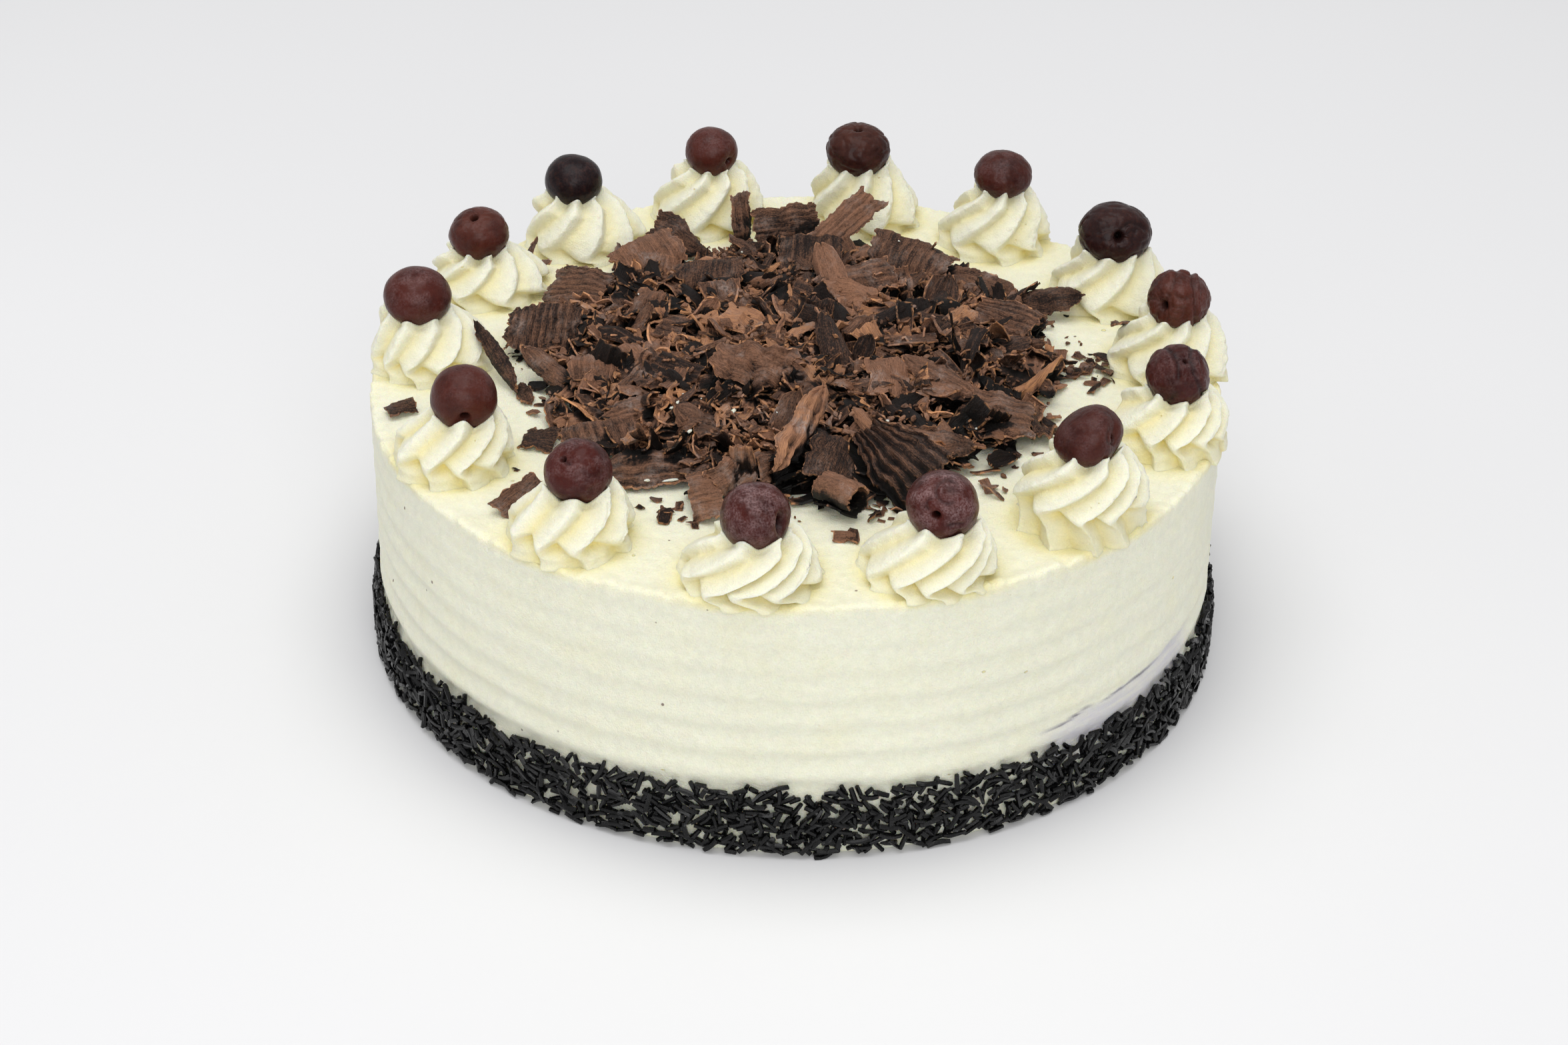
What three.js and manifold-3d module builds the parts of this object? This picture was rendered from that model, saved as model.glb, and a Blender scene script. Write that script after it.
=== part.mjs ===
// Black forest cake: a cream-coated round cake with combed sides, a foot of sprinkles,
// a heap of chocolate shavings, and a ring of piped rosettes that each carry a cherry.
// Millimetres, +Z up, the origin in the middle of the base.

import * as THREE from 'three';
import { mergeVertices } from 'three/addons/utils/BufferGeometryUtils.js';
import Module from 'manifold-3d';

const wasm = await Module();
wasm.setup();

// the coated cake
const cakeRadius = 114;
const cakeHeight = 73;
const aroundCake = 60; // facets round the side
const combPitch = 8; // height of one band left by the comb
const combTop = 60; // the bands fade out above this
const combDepth = 0.6;
const edgeRound = 1.4;

// the foot of sprinkles
const footRadius = 115.8; // out to the bare layer that the sprinkles lie on
const footHeight = 19;
const footWave = 1.4; // how far its top edge wanders
const sprinkleCount = 100;
const sprinkleRadius = 0.8;
const sprinkleShort = 4;
const sprinkleLong = 7;

// the rosettes and cherries
const touchGap = 0.3; // kept between pieces that rest on each other
const ridgeCount = 8;
const ridgeTwist = 52; // degrees from the foot up to the rim
const rosetteRim = 14.6; // rim height of a plain rosette
const rimBelowCherry = 3.6; // from the cherry's middle down to the rim
const seatSlack = 0.8; // space round the cherry in its seat
const aroundCherry = 9;

// the shavings
const heapRadius = 72;
const heapHeight = 9.5;
const aroundHeap = 28;
const flakeThick = 1.5;
const flakeSink = 1.2; // how far a flake's lower edge sinks into the heap
const straySink = -0.3; // and into the cream, where it lies alone
const fillFlakes = 18; // smaller flakes between the large ones

// Round the ring: angle from +X and distance from the middle, the rosette's foot radius, and its
// cherry's height above the cake, width, tallness and offset along X. The stalk's hole points to
// an azimuth and an elevation.
const rosettes = [
  { angle: -151.5, ring: 99.5, foot: 15.2, lift: 18.2, wide: 17.2, tall: 16.8, shift: 3.4, stalk: [-82, -14] },
  { angle: -123.5, ring: 99.5, foot: 15.6, lift: 18.0, wide: 16.8, tall: 16.4, shift: 2.4, stalk: [-135, 50] },
  { angle: -96.0, ring: 99.5, foot: 17.4, lift: 16.0, wide: 17.0, tall: 16.8, shift: 1.2, stalk: [-36, 6] },
  { angle: -71.0, ring: 99.5, foot: 16.6, lift: 17.2, wide: 17.9, tall: 16.6, shift: 3.2, stalk: [-105, 12] },
  { angle: -45.0, ring: 100.5, foot: 17.0, lift: 24.4, wide: 17.6, tall: 15.4, shift: 0.9, stalk: [-42, 10] },
  { angle: -17.0, ring: 101.0, foot: 16.0, lift: 18.6, wide: 16.6, tall: 16.2, shift: 1.3, stalk: [-70, 62] },
  { angle: 6.5, ring: 101.5, foot: 16.8, lift: 19.4, wide: 17.6, tall: 16.2, shift: 1.0, stalk: [-130, 8] },
  { angle: 30.5, ring: 101.5, foot: 16.8, lift: 19.4, wide: 20.8, tall: 16.6, shift: 0.4, stalk: [-88, 22] },
  { angle: 56.5, ring: 102.5, foot: 16.0, lift: 20.8, wide: 16.8, tall: 13.8, shift: 1.6, stalk: [60, 20] },
  { angle: 79.5, ring: 101.5, foot: 16.6, lift: 21.2, wide: 19.0, tall: 16.0, shift: -2.0, stalk: [-100, 84] },
  { angle: 105.5, ring: 101.5, foot: 16.6, lift: 20.6, wide: 15.4, tall: 14.6, shift: 0.8, stalk: [-40, -8] },
  { angle: 127.5, ring: 102.0, foot: 17.4, lift: 18.6, wide: 16.6, tall: 14.8, shift: -3.4, stalk: [100, 10] },
  { angle: 150.0, ring: 101.0, foot: 17.0, lift: 15.8, wide: 17.0, tall: 14.6, shift: -2.4, stalk: [-110, 70] },
  { angle: 176.0, ring: 99.0, foot: 16.6, lift: 18.4, wide: 18.2, tall: 16.0, shift: -3.2, stalk: [90, 30] },
];

// The largest shavings: middle [x, y] on the cake, length and width, then the turn about Z, the
// slope along the length and the tilt across it, in degrees.
const largeFlakes = [
  { at: [-17, 76], size: [17, 5.5], turn: 100, slope: 62, tilt: 8 },
  { at: [-4, 75], size: [18, 13], turn: 12, slope: 4, tilt: 64 },
  { at: [11, 69], size: [31, 9], turn: 42, slope: 24, tilt: 30 },
  { at: [-34, 65], size: [19, 11], turn: -30, slope: -14, tilt: 38 },
  { at: [-25, 37], size: [19, 12], turn: -6, slope: 3, tilt: 22 },
  { at: [-62, 38], size: [18, 15], turn: -24, slope: 10, tilt: 20 },
  { at: [-43, 54], size: [19, 12], turn: 28, slope: 16, tilt: 30 },
  { at: [-69, 12], size: [20, 15], turn: -10, slope: 5, tilt: 34 },
  { at: [-69, -5], size: [26, 7], turn: -66, slope: -20, tilt: 30 },
  { at: [-52, -23], size: [12, 11], turn: 4, slope: 0, tilt: 18 },
  { at: [-42, -33], size: [17, 7.5], turn: 24, slope: 5, tilt: 20 },
  { at: [-49, -44], size: [20, 12], turn: 18, slope: 4, tilt: 26 },
  { at: [-38, -56], size: [29, 12], turn: 6, slope: 3, tilt: 20 },
  { at: [-11, -20], size: [22, 14], turn: -16, slope: -4, tilt: 14 },
  { at: [1, -54], size: [27, 9], turn: 62, slope: 26, tilt: 48 },
  { at: [9, -60], size: [17, 13], turn: 78, slope: 12, tilt: 36 },
  { at: [25, -58], size: [26, 19], turn: -40, slope: -8, tilt: 28 },
  { at: [52, -30], size: [19, 15], turn: -6, slope: -3, tilt: 18 },
  { at: [37, -18], size: [24, 8], turn: -42, slope: -6, tilt: 16 },
  { at: [38, -45], size: [15, 9], turn: -12, slope: 2, tilt: 16 },
  { at: [57, 22], size: [17, 12], turn: -28, slope: -4, tilt: 24 },
  { at: [16, 36], size: [23, 9], turn: 24, slope: 5, tilt: 26 },
  { at: [3, 52], size: [18, 13], turn: -4, slope: 2, tilt: 30 },
  { at: [31, 54], size: [24, 13], turn: -22, slope: -6, tilt: 26 },
  { at: [50, 47], size: [24, 8], turn: -26, slope: -4, tilt: 22 },
  { at: [69, 38], size: [19, 9], turn: 4, slope: 8, tilt: 30 },
  { at: [-15, -63], size: [14, 9], turn: 50, slope: 10, tilt: 40 },
  { at: [-22, -70], size: [14, 8], turn: -80, slope: -26, tilt: 10 },
  { at: [11, -71], size: [12, 9], turn: 24, slope: 0, tilt: 24 },
  { at: [62, -6], size: [18, 10], turn: 36, slope: -4, tilt: 16 },
];

// Shavings that lie on the cream by themselves, as above.
const strayFlakes = [
  { at: [-66.5, -39.5], size: [9, 7], turn: -16, slope: 2, tilt: 6 },
  { at: [-71.5, -69.5], size: [13, 5], turn: 40, slope: 8, tilt: 14 },
  { at: [-104.5, -24.5], size: [7, 4.5], turn: 30, slope: 5, tilt: 8 },
  { at: [14, -82], size: [4.5, 3], turn: 20, slope: 0, tilt: 0 },
];

function makeRandom(seed) {
  let state = seed;
  return (low, high) => {
    state = (state * 16807) % 2147483647; // minimal standard generator
    return low + (high - low) * (state / 2147483647);
  };
}

function toSolid(geometry) {
  const bare = geometry.clone();
  bare.deleteAttribute('normal');
  bare.deleteAttribute('uv');
  const merged = mergeVertices(bare, 1e-4);
  const vertProperties = new Float32Array(merged.attributes.position.array);
  const triVerts = new Uint32Array(merged.index.array);
  return new wasm.Manifold(new wasm.Mesh({ numProp: 3, vertProperties, triVerts }));
}

function toGeometry(solid) {
  const mesh = solid.getMesh();
  const geometry = new THREE.BufferGeometry();
  geometry.setAttribute('position', new THREE.BufferAttribute(new Float32Array(mesh.vertProperties), 3));
  geometry.setIndex(new THREE.BufferAttribute(new Uint32Array(mesh.triVerts), 1));
  geometry.computeVertexNormals();
  return geometry;
}

function largestPiece(solid) {
  const pieces = solid.decompose();
  pieces.sort((first, second) => second.volume() - first.volume());
  return pieces[0];
}

// turns a profile of [radius, height] points about Z; place(point, column, row) moves each vertex
function turned(points, segments, place) {
  const outline = points.map(([radius, height]) => new THREE.Vector2(radius, height));
  const geometry = new THREE.LatheGeometry(outline, segments);
  geometry.rotateX(Math.PI / 2);
  const position = geometry.attributes.position;
  const vertex = new THREE.Vector3();
  for (let index = 0; index < position.count; index += 1) {
    vertex.fromBufferAttribute(position, index);
    place(vertex, Math.floor(index / points.length) % segments, index % points.length);
    position.setXYZ(index, vertex.x, vertex.y, vertex.z);
  }
  geometry.computeVertexNormals();
  return geometry;
}

function stretchFrom(vertex, factor) {
  vertex.x *= factor;
  vertex.y *= factor;
}

const smoothWave = (angle, phase) => (
  0.5 * Math.sin(3 * angle + phase) + 0.3 * Math.sin(7 * angle + 2 * phase) + 0.2 * Math.sin(13 * angle)
);

// ---- the cake, its comb bands, sprinkles and stray shavings

function cakeCore() {
  const points = [
    [0, 0],
    [footRadius - 1.6, 0],
    [footRadius, 2.5],
    [footRadius + 0.5, footHeight * 0.45],
    [footRadius - 0.3, footHeight * 0.85],
    [cakeRadius + 0.2, footHeight + 1],
  ];
  const footRow = points.length - 1;
  for (let level = footHeight + 5; level < combTop; level += combPitch) {
    points.push([cakeRadius, level]);
    points.push([cakeRadius - combDepth, level + combPitch * 0.5]);
  }
  points.push([cakeRadius, cakeHeight - edgeRound]);
  points.push([cakeRadius - edgeRound, cakeHeight]);
  points.push([0, cakeHeight]);
  return turned(points, aroundCake, (vertex, column, row) => {
    const angle = (column / aroundCake) * 2 * Math.PI;
    if (row > 1 && row <= footRow) {
      vertex.z += (row / footRow) * footWave * smoothWave(angle, 1);
      stretchFrom(vertex, 1 + 0.006 * smoothWave(angle * 3, row));
    }
  });
}

function sprinkle(random, index) {
  const length = random(sprinkleShort, sprinkleLong);
  const geometry = new THREE.CapsuleGeometry(sprinkleRadius, length - 2 * sprinkleRadius, 1, 5);
  const lean = random(0, Math.PI); // from upright, in the side's plane
  const reach = (Math.abs(Math.cos(lean)) * length) / 2 + sprinkleRadius;
  geometry.rotateX(random(-0.3, 0.3));
  geometry.rotateZ(lean);
  geometry.rotateX(Math.PI / 2); // now in the plane XZ, facing Y
  const level = random(reach, footHeight - 0.2 * reach + footWave);
  const around = ((index + random(0, 0.7)) / sprinkleCount) * 2 * Math.PI;
  const bare = level < footHeight * 0.8 ? footRadius + 0.2 : cakeRadius + 0.7;
  geometry.translate(0, -bare, level);
  geometry.rotateZ(around);
  return toSolid(geometry);
}

function flake(spec, bendDegrees, ground) {
  const [length, width] = spec.size;
  const slope = THREE.MathUtils.degToRad(-spec.slope);
  const tilt = THREE.MathUtils.degToRad(spec.tilt);
  const reach = (length / 2) * Math.abs(Math.sin(slope)) + (width / 2) * Math.abs(Math.sin(tilt));
  const geometry = new THREE.BoxGeometry(length, width, flakeThick, 1, 2, 1);
  const position = geometry.attributes.position;
  const half = THREE.MathUtils.degToRad(bendDegrees) / 2;
  for (let index = 0; index < position.count; index += 1) {
    const across = position.getY(index) / (width / 2);
    const along = position.getX(index) / (length / 2);
    const sag = (width / 4) * Math.tan(half) * (1 - across * across);
    const taper = 1 - 0.18 * along * across;
    position.setXYZ(index, position.getX(index) * taper, position.getY(index), position.getZ(index) + sag);
  }
  geometry.rotateX(tilt);
  geometry.rotateY(slope);
  geometry.rotateZ(THREE.MathUtils.degToRad(spec.turn));
  geometry.translate(spec.at[0], spec.at[1], cakeHeight + ground + reach);
  return toSolid(geometry);
}

function cakeGeometry() {
  const random = makeRandom(4211);
  const solids = [toSolid(cakeCore())];
  for (let index = 0; index < sprinkleCount; index += 1) {
    solids.push(sprinkle(random, index));
  }
  strayFlakes.forEach((spec) => solids.push(flake(spec, 14, -straySink)));
  return toGeometry(largestPiece(wasm.Manifold.union(solids)));
}

// ---- a rosette and its cherry, about the rosette's own foot

function rosetteGeometry(spec, startAngle) {
  const rise = (spec.lift - rimBelowCherry) / rosetteRim;
  const seatWide = spec.wide / 2 + seatSlack;
  const seatTall = spec.tall / 2 + seatSlack;
  const seatPoint = (degrees) => {
    const angle = THREE.MathUtils.degToRad(degrees);
    return [seatWide * Math.sin(angle), spec.lift - seatTall * Math.cos(angle)];
  };
  // radius, height, groove depth, lip height and how far the ring leans under the cherry
  const rings = [
    { at: [0, 0], groove: 0, lip: 0, lean: 0 },
    { at: [0.8 * spec.foot, 0], groove: 0.9, lip: 0, lean: 0 },
    { at: [0.94 * spec.foot, 1.9 * rise], groove: 1.2, lip: 0, lean: 0 },
    { at: [0.93 * spec.foot, 4.6 * rise], groove: 1.3, lip: 0, lean: 0.1 },
    { at: [0.83 * spec.foot, 8.0 * rise], groove: 1.5, lip: 0, lean: 0.4 },
    { at: [0.67 * spec.foot, 11.6 * rise], groove: 1.3, lip: 0.3, lean: 0.8 },
    { at: [seatWide + 0.1, rosetteRim * rise], groove: 0.4, lip: 0.8, lean: 1 },
    { at: seatPoint(46), groove: 0, lip: 0, lean: 1 },
    { at: seatPoint(23), groove: 0, lip: 0, lean: 1 },
    { at: seatPoint(0), groove: 0, lip: 0, lean: 1 },
  ];
  const columns = 2 * ridgeCount;
  return turned(rings.map((ring) => ring.at), columns, (vertex, column, row) => {
    const ring = rings[row];
    const crest = column % 2 === 0 ? 1 : -1;
    const climb = Math.min(ring.at[1] / (rosetteRim * rise), 1);
    const twist = THREE.MathUtils.degToRad(startAngle + ridgeTwist * climb);
    const angle = (column / columns) * 2 * Math.PI + twist;
    const radius = ring.at[0] + crest * ring.groove;
    vertex.set(
      radius * Math.cos(angle) + ring.lean * spec.shift,
      radius * Math.sin(angle),
      ring.at[1] + crest * ring.lip,
    );
  });
}

function cherryGeometry(spec) {
  const points = [
    [0, -0.97],
    [0.3, -0.94],
    [0.73, -0.68],
    [0.98, -0.2],
    [0.93, 0.36],
    [0.58, 0.82],
    [0.17, 0.95],
    [0, 0.68],
  ];
  const geometry = turned(points, aroundCherry, () => {});
  const [azimuth, elevation] = spec.stalk.map(THREE.MathUtils.degToRad);
  geometry.rotateY(Math.PI / 2 - elevation);
  geometry.rotateZ(azimuth);
  geometry.scale(spec.wide / 2, spec.wide / 2, spec.tall / 2);
  return geometry;
}

// ---- the heap of shavings

function heapOutline(angle) {
  return heapRadius * (1 + 0.04 * smoothWave(angle, 0.6)) + 5 * Math.sin(angle);
}

const moundRise = (share) => heapHeight * (1 - share ** 3) + 1;

function moundHeight([x, y]) {
  const share = Math.hypot(x, y) / heapOutline(Math.atan2(y, x));
  return moundRise(Math.min(share, 1));
}

function heapCore() {
  const shares = [1, 0.88, 0.65, 0.35, 0];
  const rings = [[0, touchGap], [0.96, touchGap]];
  shares.forEach((share) => rings.push([share, moundRise(share)]));
  return turned(rings, aroundHeap, (vertex, column, row) => {
    const angle = Math.atan2(vertex.y, vertex.x);
    const onTop = row > 2 && row < rings.length - 1;
    stretchFrom(vertex, heapOutline(angle));
    vertex.z += cakeHeight + (onTop ? 0.6 * Math.sin(5.3 * column + 2.7 * row) : 0);
  });
}

function fillFlake(random, index) {
  const goldenTurn = 2.39996;
  const distance = heapRadius * 0.9 * Math.sqrt((index + 0.5) / fillFlakes);
  const angle = index * goldenTurn;
  const spec = {
    at: [distance * Math.cos(angle), distance * Math.sin(angle)],
    size: [random(9, 16), random(3.5, 8)],
    turn: random(-90, 90),
    slope: random(-18, 18),
    tilt: random(-38, 38),
  };
  return flake(spec, random(20, 50), moundHeight(spec.at) - flakeSink);
}

function heapGeometry() {
  const random = makeRandom(907);
  const solids = [toSolid(heapCore())];
  largeFlakes.forEach((spec) => solids.push(flake(spec, 36, moundHeight(spec.at) - flakeSink)));
  for (let index = 0; index < fillFlakes; index += 1) {
    solids.push(fillFlake(random, index));
  }
  let heap = wasm.Manifold.union(solids);
  const clearHeight = 40;
  rosettes.forEach((spec) => {
    const [x, y] = rosettePlace(spec);
    const keepOut = new THREE.CylinderGeometry(spec.foot + 1, spec.foot + 1, clearHeight, 14);
    keepOut.rotateX(Math.PI / 2);
    keepOut.translate(x, y, cakeHeight + clearHeight / 2 - 1);
    heap = heap.subtract(toSolid(keepOut));
  });
  const below = new THREE.BoxGeometry(2 * cakeRadius, 2 * cakeRadius, 20);
  below.translate(0, 0, cakeHeight + touchGap - 10);
  heap = heap.subtract(toSolid(below));
  return toGeometry(largestPiece(heap));
}

// ---- the cake put together

function rosettePlace(spec) {
  const angle = THREE.MathUtils.degToRad(spec.angle);
  return [spec.ring * Math.cos(angle), spec.ring * Math.sin(angle)];
}

const cream = new THREE.MeshStandardMaterial({ color: 0xf1eecb, roughness: 0.6, metalness: 0 });
const pipedCream = new THREE.MeshStandardMaterial({ color: 0xf5f0cd, roughness: 0.55, metalness: 0 });
const cherrySkin = new THREE.MeshStandardMaterial({ color: 0x4b2323, roughness: 0.35, metalness: 0 });
const chocolate = new THREE.MeshStandardMaterial({ color: 0x462d23, roughness: 0.6, metalness: 0 });

function namedMesh(name, geometry, material) {
  const mesh = new THREE.Mesh(geometry, material);
  mesh.name = name;
  return mesh;
}

const cake = new THREE.Group();
cake.add(namedMesh('cake_body', cakeGeometry(), cream));
cake.add(namedMesh('chocolate_shavings', heapGeometry(), chocolate));

rosettes.forEach((spec, index) => {
  const number = String(index + 1).padStart(2, '0');
  const [x, y] = rosettePlace(spec);
  const startAngle = 17 * index;
  const topping = new THREE.Group();
  topping.position.set(x, y, cakeHeight + touchGap);
  topping.add(namedMesh(`rosette_${number}`, rosetteGeometry(spec, startAngle), pipedCream));
  const cherry = namedMesh(`cherry_${number}`, cherryGeometry(spec), cherrySkin);
  cherry.position.set(spec.shift, 0, spec.lift);
  topping.add(cherry);
  cake.add(topping);
});

export default cake;
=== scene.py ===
# Black forest cake: a cream coat with combed sides, its foot of sprinkles, piped rosettes that
# carry cherries, and a heap of chocolate shavings. Settings are in millimetres and degrees.
import math
import random
import bpy
import numpy as np
from mathutils import Matrix, noise


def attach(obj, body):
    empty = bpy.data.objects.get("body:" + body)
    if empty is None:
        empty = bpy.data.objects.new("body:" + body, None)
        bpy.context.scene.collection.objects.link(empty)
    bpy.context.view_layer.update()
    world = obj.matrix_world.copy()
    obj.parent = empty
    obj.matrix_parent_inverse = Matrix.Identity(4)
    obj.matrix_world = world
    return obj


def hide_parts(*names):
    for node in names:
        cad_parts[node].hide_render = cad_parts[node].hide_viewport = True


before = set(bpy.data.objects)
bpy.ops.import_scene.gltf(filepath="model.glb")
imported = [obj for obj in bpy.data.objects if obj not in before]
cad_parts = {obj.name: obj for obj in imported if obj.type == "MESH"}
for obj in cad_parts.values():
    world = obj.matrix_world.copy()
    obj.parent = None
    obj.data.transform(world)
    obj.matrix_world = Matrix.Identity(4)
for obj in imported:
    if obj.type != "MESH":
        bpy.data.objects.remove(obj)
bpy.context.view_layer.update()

mm = 0.001
cakeHeight = 73.0
cakeRadius = 114.0


# helpers for meshes

def deselectAll():
    bpy.ops.object.select_all(action='DESELECT')


def selectOnly(piece):
    deselectAll()
    piece.select_set(True)
    bpy.context.view_layer.objects.active = piece


def readPoints(piece):
    flat = np.empty(len(piece.data.vertices) * 3)
    piece.data.vertices.foreach_get('co', flat)
    return flat.reshape(-1, 3) / mm


def writePoints(piece, points):
    piece.data.vertices.foreach_set('co', (points * mm).ravel())
    piece.data.update()


def setMark(piece, name, values):  # a number or a vector at each point, for the materials
    values = np.asarray(values, dtype=float)
    kind, field = ('FLOAT', 'value') if values.ndim == 1 else ('FLOAT_VECTOR', 'vector')
    piece.data.attributes.new(name, kind, 'POINT').data.foreach_set(field, values.ravel())


def beside(*parts):  # each part becomes a column
    return np.stack(parts, axis=1)


def unitOf(vector):
    return vector / np.linalg.norm(vector)


def lumps(points, size, seed=0.0):  # smooth noise, about -1 to 1
    moved = (points / size + seed).tolist()
    return np.array([noise.noise(place) for place in moved])


def bell(distance, width):
    return np.exp(-(distance / width) ** 2)


def smoothStep(value, low, high):
    share = np.clip((value - low) / (high - low), 0, 1)
    return share * share * (3 - 2 * share)


def wrapAngle(degrees):  # into -180 to 180
    return (degrees + 180) % 360 - 180


def smoothLine(stops, places):  # a smooth line through stops, read at fractional indices
    stops = np.asarray(stops, dtype=float)
    low = np.clip(np.floor(places).astype(int), 0, len(stops) - 2)
    part = (places - low)[:, None]
    before = stops[np.maximum(low - 1, 0)]
    start = stops[low]
    end = stops[low + 1]
    after = stops[np.minimum(low + 2, len(stops) - 1)]
    bend = 2 * before - 5 * start + 4 * end - after
    swing = 3 * start - before - 3 * end + after
    return 0.5 * (2 * start + (end - before) * part + bend * part**2 + swing * part**3)


def evenPlaces(stops, count):  # indices that lie evenly along the smooth line
    fine = np.linspace(0, len(stops) - 1, 40 * len(stops))
    line = smoothLine(stops, fine)[:, :2]
    steps = np.linalg.norm(np.diff(line, axis=0), axis=1)
    run = np.concatenate([[0], np.cumsum(steps)])
    return np.interp(np.linspace(0, run[-1], count), run, fine)


def addBall(around, rows):  # a closed ball of rows, row 0 at the bottom pole
    deselectAll()
    bpy.ops.mesh.primitive_uv_sphere_add(segments=around, ring_count=rows, radius=mm)
    ball = bpy.context.object
    unit = readPoints(ball)
    fromTop = np.arccos(np.clip(unit[:, 2], -1, 1)) / math.pi * rows
    turn = np.arctan2(unit[:, 1], unit[:, 0]) / (2 * math.pi) * around
    row = rows - np.rint(fromTop).astype(int)
    column = np.rint(turn).astype(int) % around
    return ball, row, column, unit


def applyModifier(piece, kind, **values):
    selectOnly(piece)
    modifier = piece.modifiers.new(kind.title(), kind)
    for key, value in values.items():
        setattr(modifier, key, value)
    bpy.ops.object.modifier_apply(modifier=modifier.name)


def shadeSmooth(piece, angle=None):
    selectOnly(piece)
    if angle is None:
        bpy.ops.object.shade_smooth()
    else:
        bpy.ops.object.shade_smooth_by_angle(angle=math.radians(angle))


def finishPiece(piece, name, finish, slotName, *nodes):
    piece.name = name
    piece.data.name = name
    piece.data.materials.clear()
    piece.data.materials.append(finish)
    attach(piece, "root")
    if nodes:
        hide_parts(*nodes)


def turnMatrix(turn, slope=0.0, tilt=0.0):  # tilt across, then slope along, then turn
    aboutX = Matrix.Rotation(math.radians(tilt), 3, 'X')
    aboutY = Matrix.Rotation(math.radians(-slope), 3, 'Y')
    aboutZ = Matrix.Rotation(math.radians(turn), 3, 'Z')
    return np.array(aboutZ @ aboutY @ aboutX)


def takeShape(piece):  # points, faces and marks of a pattern piece, which is then removed
    points = readPoints(piece)
    faces = [list(face.vertices) for face in piece.data.polygons]
    marks = {}
    for name, kind, width in (('edge', 'value', 1), ('grain', 'vector', 3)):
        if name in piece.data.attributes:
            flat = np.empty(len(points) * width)
            piece.data.attributes[name].data.foreach_get(kind, flat)
            marks[name] = flat.reshape(-1, width)
    bpy.data.objects.remove(piece, do_unlink=True)
    return points, faces, marks


def addObject(name, data):
    thing = bpy.data.objects.new(name, data)
    bpy.context.collection.objects.link(thing)
    return thing


def joinCopies(name, shapes, places):
    # places: (shape index, 3x3 matrix, position, tone)
    allPoints = []
    allFaces = []
    tones = []
    edges = []
    grains = []
    start = 0
    for index, matrix, position, tone in places:
        points, faces, marks = shapes[index]
        allPoints.append(points @ matrix.T + position)
        allFaces.extend([[start + corner for corner in face] for face in faces])
        tones.append(np.full(len(points), tone))
        if 'edge' in marks:
            edges.append(marks['edge'][:, 0])
            grains.append(marks['grain'] + np.array([0, 0, 7.7 * tone + position[0]]))
        start += len(points)
    points = np.concatenate(allPoints)
    mesh = bpy.data.meshes.new(name)
    mesh.from_pydata((points * mm).tolist(), [], allFaces)
    mesh.update()
    piece = addObject(name, mesh)
    setMark(piece, 'tone', np.concatenate(tones))
    if edges:
        setMark(piece, 'edge', np.concatenate(edges))
        setMark(piece, 'grain', np.concatenate(grains))
    return piece, points


# helpers for materials

def addNode(tree, kind, settings=None, **values):
    node = tree.nodes.new(kind)
    for key, value in (settings or {}).items():
        setattr(node, key, value)
    for key, value in values.items():
        plug(tree, value, node.inputs[key.replace('_', ' ')])
    return node


def plug(tree, value, socket):  # a link from another socket, or a plain value
    if isinstance(value, bpy.types.NodeSocket):
        tree.links.new(value, socket)
    else:
        socket.default_value = value


def reckon(tree, operation, first, second, clamp=False):
    node = tree.nodes.new('ShaderNodeMath')
    node.operation = operation
    node.use_clamp = clamp
    plug(tree, first, node.inputs[0])
    plug(tree, second, node.inputs[1])
    return node.outputs[0]


def times(tree, first, second, clamp=False):
    return reckon(tree, 'MULTIPLY', first, second, clamp)


def plus(tree, first, second, clamp=False):
    return reckon(tree, 'ADD', first, second, clamp)


def minus(tree, first, second):
    return reckon(tree, 'SUBTRACT', first, second)


def blendColours(tree, share, first, second, mode='MIX'):
    node = tree.nodes.new('ShaderNodeMix')
    node.data_type = 'RGBA'
    node.blend_type = mode
    for socket, value in ((0, share), (6, first), (7, second)):
        plug(tree, value, node.inputs[socket])
    return node.outputs[2]


def layered(tree, colour, colours, *layers):  # each layer: its share and its colour's name
    for share, name in layers:
        colour = blendColours(tree, share, colour, colours[name])
    return colour


def shaded(tree, colour, shade):
    grey = tree.nodes.new('ShaderNodeCombineColor')
    for channel in range(3):
        plug(tree, shade, grey.inputs[channel])
    return blendColours(tree, 1.0, colour, grey.outputs[0], 'MULTIPLY')


def spread(tree, value, low, high, outLow=0.0, outHigh=1.0):  # value from low to high, clamped
    node = tree.nodes.new('ShaderNodeMapRange')
    for socket, number in zip(node.inputs, (value, low, high, outLow, outHigh)):
        plug(tree, number, socket)
    return node.outputs[0]


def noiseOf(tree, vector, size, detail=2.0, rough=0.5, unit=mm):
    node = addNode(tree, 'ShaderNodeTexNoise', Vector=vector, Scale=1 / (size * unit), Detail=detail,
                   Roughness=rough)
    return node.outputs['Fac']


def cellDistance(tree, vector, size):
    node = addNode(tree, 'ShaderNodeTexVoronoi', Vector=vector, Scale=1 / (size * mm))
    return node.outputs['Distance']


def stretched(tree, vector, scale):
    return addNode(tree, 'ShaderNodeMapping', Vector=vector, Scale=scale).outputs[0]


def scaledBy(tree, vector, factor):
    settings = {'operation': 'SCALE'}
    return addNode(tree, 'ShaderNodeVectorMath', settings, Vector=vector, Scale=factor).outputs[0]


def markOf(tree, name, output='Fac'):
    node = tree.nodes.new('ShaderNodeAttribute')
    node.attribute_name = name
    return node.outputs[output]


def newFinish(name):
    finish = bpy.data.materials.new(name)
    finish.use_nodes = True
    tree = finish.node_tree
    place = tree.nodes.new('ShaderNodeTexCoord').outputs['Object']
    return finish, tree, tree.nodes['Principled BSDF'], place


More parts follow.
